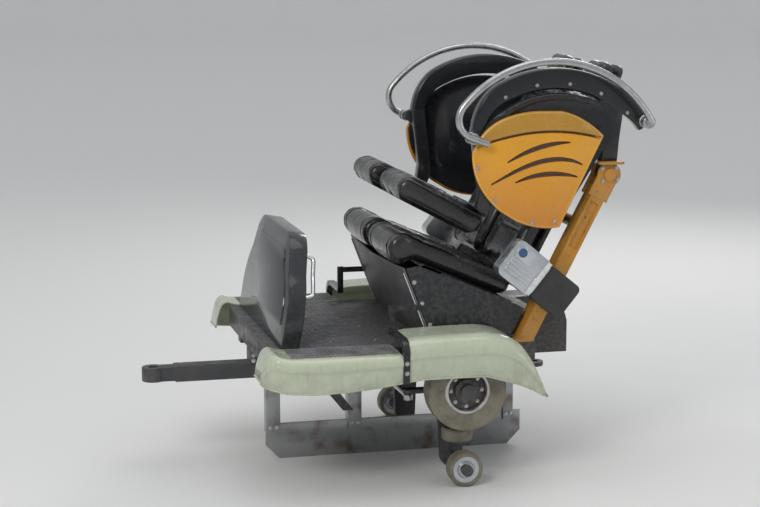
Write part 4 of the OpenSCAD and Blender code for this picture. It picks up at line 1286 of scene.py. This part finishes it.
class COASTER_OT_pads(CarPiece, bpy.types.Operator):
    """Swells the cushions and pads, then sews their channels and piping"""

    bl_idname = "coaster.pads"
    bl_label = "Cushions and pads"

    shrink = 7
    frames = 20
    roll = ((515, -65), 65)
    bolster_seams = (92, 370)

    def build(self, sizes):
        works = {
            "seat_cushion": self.block(self.seat_loop(), PAN, SEAT_Y, 0.026),
            "lap_pad": self.block(self.lap_loop(self.shrink), LAP, LAP_Y, 0.034),
            "back_cushion": self.slab(SEAT_Y, (-300, 540), 85, 60, 0.024),
            "headrest": self.slab((121, 341), (552, 686), 80, 40, 0.022),
        }
        meshes = self.swollen(works, sizes)
        self.sew(meshes, sizes)
        for name, mesh in meshes.items():
            body = "restraint_{}" if name == "lap_pad" else "chassis"
            fine = applied(mesh, "SUBSURF", levels=1, render_levels=1)
            pair = both_sides(name + "_{}_finish", fine, body, "black_vinyl", node=name + "_{}", angle=180)
        self.trim(meshes, sizes)

    def seat_loop(self):
        """Side view of the seat cushion: flat top and a round front roll."""
        (centre, r), s = self.roll, self.shrink
        loop = [(s, s - 85), (s, -s), (120, -s), (250, -s), (380, -s)]
        return loop + arc(centre, r - s, 90, -150, 18) + [(440, s - 85)]

    def lap_loop(self, shrink):
        """Side view of the lap pad, inset by shrink."""
        return rounded((shrink, shrink - 105), (430 - shrink, -shrink), 42, 6)

    def block(self, loop, plane, span, rounding):
        """A pad from its side view, rounded at both sides."""
        low, high = span[0] + self.shrink, span[1] - self.shrink
        base = prism("pad", [plane.point(a, low, b) for a, b in loop], (0, (high - low) * MM, 0))
        return bevelled(base, rounding, 5, 0.9)

    def slab(self, span, rise, thick, corner, rounding):
        """A pad on the seat back from its front view, rounded all round its face."""
        s = self.shrink
        loop = rounded((span[0] + s, rise[0] + s), (span[1] - s, rise[1] - s), corner, 8)
        rear = [BACK.point(s * 0.5, y, b) for y, b in loop]
        offset = BACK.point(thick - s, 0, 0) - BACK.point(s * 0.5, 0, 0)
        return bevelled(prism("pad", rear, offset), rounding, 5, 0.9)

    def swollen(self, works, sizes):
        """Remeshes every pad, lets cloth pressure fill it and caps how far it moves."""
        remesh = {"mode": "VOXEL", "voxel_size": sizes.voxel, "use_smooth_shade": True}
        meshes = {name: applied(mesh, "REMESH", **remesh) for name, mesh in works.items()}
        scene, objs = bpy.context.scene, {}
        for name, mesh in meshes.items():
            objs[name] = linked(name, mesh)
            cloth = objs[name].modifiers.new("Cloth", "CLOTH").settings
            cloth.use_pressure = True
            cloth.uniform_pressure_force = sizes.pressure
            cloth.effector_weights.gravity = 0.0
        for number in range(1, self.frames + 1):
            scene.frame_set(number)
        for name, obj in objs.items():
            before = vectors(obj.data)
            mesh = evaluated(obj)
            move = vectors(mesh) - before
            far = np.linalg.norm(move, axis=1, keepdims=True)
            move_to(mesh, before + move * np.minimum(1.0, sizes.swell / np.maximum(far, 1e-9)))
            meshes[name] = mesh
        scene.frame_set(1)
        return meshes

    def press(self, mesh, weight, depth):
        """Pushes a pad's surface in along its normals."""
        move_to(mesh, vectors(mesh) - vectors(mesh, "normal") * (weight * depth)[:, None])

    def between(self, y, before, after):
        """1 between the bolsters, starting before their seams and full after them."""
        low, high = self.bolster_seams
        return step(y, low - before, low + after) * (1 - step(y, high - after, high + before))

    def channels(self, y, along, crossings):
        """1 in the channels along the bolsters and in the ones that cross between them."""
        across = sum(bell(along, spot, 6.5) for spot in crossings) * self.between(y, 0, 6)
        return np.clip(sum(bell(y, seam, 5.5) for seam in self.bolster_seams) + across, 0, 1)

    def sew(self, meshes, sizes):
        """Hollows the seat and back between two bolsters and sews the channels of all pads."""
        mesh = meshes["seat_cushion"]
        a, y, b = PAN.local(vectors(mesh))
        upper = np.clip(step(b, -60.0, -30.0) + step(a, 500.0, 560.0), 0, 1)
        self.press(mesh, self.between(y, 18, 20) * upper * (1 - step(a, 470.0, 570.0)), 0.011)
        self.press(mesh, self.channels(y, a, (110, 230, 350)) * upper, sizes.seam)
        mesh = meshes["back_cushion"]
        a, y, b = BACK.local(vectors(mesh))
        face = step(a, 30.0, 60.0)
        self.press(mesh, self.between(y, 18, 20) * face, 0.012)
        self.press(mesh, self.channels(y, b, (-120, 0, 120, 240, 360, 460)) * face, sizes.seam)
        mesh = meshes["lap_pad"]
        a, y, b = LAP.local(vectors(mesh))
        lines = np.clip(bell(y, 96, 5.0) + bell(y, 394, 5.0), 0, 1)
        self.press(mesh, lines * step(b, -45.0, -20.0), sizes.seam * 0.9)

    def on_surface(self, mesh, points, lift):
        """Points drawn to the nearest spot of a pad's surface and lifted off it."""
        tree = BVHTree.FromPolygons([v.co for v in mesh.vertices], [p.vertices for p in mesh.polygons])
        found = (tree.find_nearest(point) for point in points)
        return [spot + normal * lift for spot, normal, _, _ in found]

    def trim(self, meshes, sizes):
        """Piping round the pads' edges and stitches along the bolsters."""
        centre, r = self.roll
        seat_edge = [(a, 2) for a in range(30, 500, 14)] + arc(centre, r + 3, 90, -110, 24)
        lap_edge = self.lap_loop(-2)
        rows = (
            ("seat_piping_{}", "seat_cushion", PAN, SEAT_Y, 8, seat_edge, "chassis"),
            ("lap_piping_{}", "lap_pad", LAP, LAP_Y, 6, lap_edge + lap_edge[:1], "restraint_{}"),
        )
        for name, pad, plane, span, inset, edge, body in rows:
            lines = []
            for y in (span[0] + inset, span[1] - inset):
                raw = [plane.point(a, y, b) for a, b in edge]
                lines.append(self.on_surface(meshes[pad], raw, sizes.piping * 0.35))
            mesh = tubes(lines, sizes.piping, 8, "piping")
            both_sides(name, mesh, body, "black_vinyl", "piping", angle=60)
        seams, lift = [], 0.0006
        for y in (self.bolster_seams[0] + 8, self.bolster_seams[1] - 8):
            on_seat = [PAN.point(a, y, 8) for a in range(20, 500, 12)]
            on_back = [BACK.point(95, y, b) for b in range(60, 520, 12)]
            seams.append(self.on_surface(meshes["seat_cushion"], on_seat, lift))
            seams.append(self.on_surface(meshes["back_cushion"], on_back, lift))
        mesh = stitch_tree().grow(line_mesh(seams), Pitch=sizes.stitch, Material=finishes["thread"])
        both_sides("seat_stitches_{}", mesh, "chassis", "black_vinyl", "thread", angle=60)


class COASTER_OT_fasteners(CarPiece, bpy.types.Operator):
    """Sets the bolt heads on each body"""

    bl_idname = "coaster.fasteners"
    bl_label = "Fasteners"

    def build(self, sizes):
        # Bolts that face outwards, as places in side view for each distance from the middle
        outwards = {
            528.5: [(-300, 668), (-395, 672), (-140, 762), (-66, 900)],
            521: [(PIVOT[0] + a, PIVOT[1] + b) for a, b in ((-34, -20), (30, -26), (-30, 26), (30, 26))],
            470.5: [(116, 250), (150, 340), (184, 430), (-140, 200), (-40, 200), (60, 200)],
            721: [(279, 110), (279, 150)],
            50.5: [(x, h) for x in (262, 298, 742, 778) for h in (44, 66)],
            28.5: [(x, -262) for x in (315, 345, 675, 705, -378, -356)],
        }
        upwards = [(x, y, 180) for x in (-314, -252) for y in (ARM_Y - 26, ARM_Y + 26)]
        upwards += [(x, y, 168) for x in (-480, -400) for y in (220, 250)]
        upwards += [(x, y, 180.5) for x in (330, 520, 700) for y in (120, 400)]
        rows = []
        for _, s in SIDES:
            rows += [(x, y * s, h, 0, s, 0) for y, spots in outwards.items() for x, h in spots]
            rows += [(x, y * s, h, 0, 0, 1) for x, y, h in upwards]
        bolts("chassis_bolts", rows, "chassis", sizes.bolt)
        for side, s in SIDES:
            rows = [(x, 504.5 * s, h, 0, s, 0) for x, h in arc(ARCH_MIDDLE, 452, 62, 134, 4)]
            bolts(f"arm_bolts_{side}", rows, f"restraint_{side}", sizes.bolt * 0.8)


OPERATORS = (
    COASTER_OT_finishes, COASTER_OT_stage, COASTER_OT_chassis, COASTER_OT_running_gear,
    COASTER_OT_fenders, COASTER_OT_tub, COASTER_OT_wings, COASTER_OT_posts, COASTER_OT_arms,
    COASTER_OT_pads, COASTER_OT_fasteners,
)


class COASTER_PT_panel(bpy.types.Panel):
    """Lists the steps that build the car, and its sizes and colours"""

    bl_idname = "COASTER_PT_panel"
    bl_label = "Coaster Car"
    bl_space_type = "VIEW_3D"
    bl_region_type = "UI"
    bl_category = "Coaster Car"

    def draw(self, context):
        for operator in OPERATORS:
            self.layout.operator(operator.bl_idname)
        for group in (context.scene.car_sizes, context.scene.car_colours):
            for key in group.bl_rna.properties.keys():
                if key not in {"rna_type", "name"}:
                    self.layout.prop(group, key)


CLASSES = (CarSizes, CarColours, *OPERATORS, COASTER_PT_panel)


def register():
    for cls in CLASSES:
        bpy.utils.register_class(cls)
    bpy.types.Scene.car_sizes = PointerProperty(type=CarSizes)
    bpy.types.Scene.car_colours = PointerProperty(type=CarColours)


def unregister():
    del bpy.types.Scene.car_colours
    del bpy.types.Scene.car_sizes
    for cls in reversed(CLASSES):
        bpy.utils.unregister_class(cls)


def main():
    register()
    for operator in OPERATORS:
        getattr(bpy.ops.coaster, operator.bl_idname.split(".")[1])()


if __name__ == "__main__":
    main()
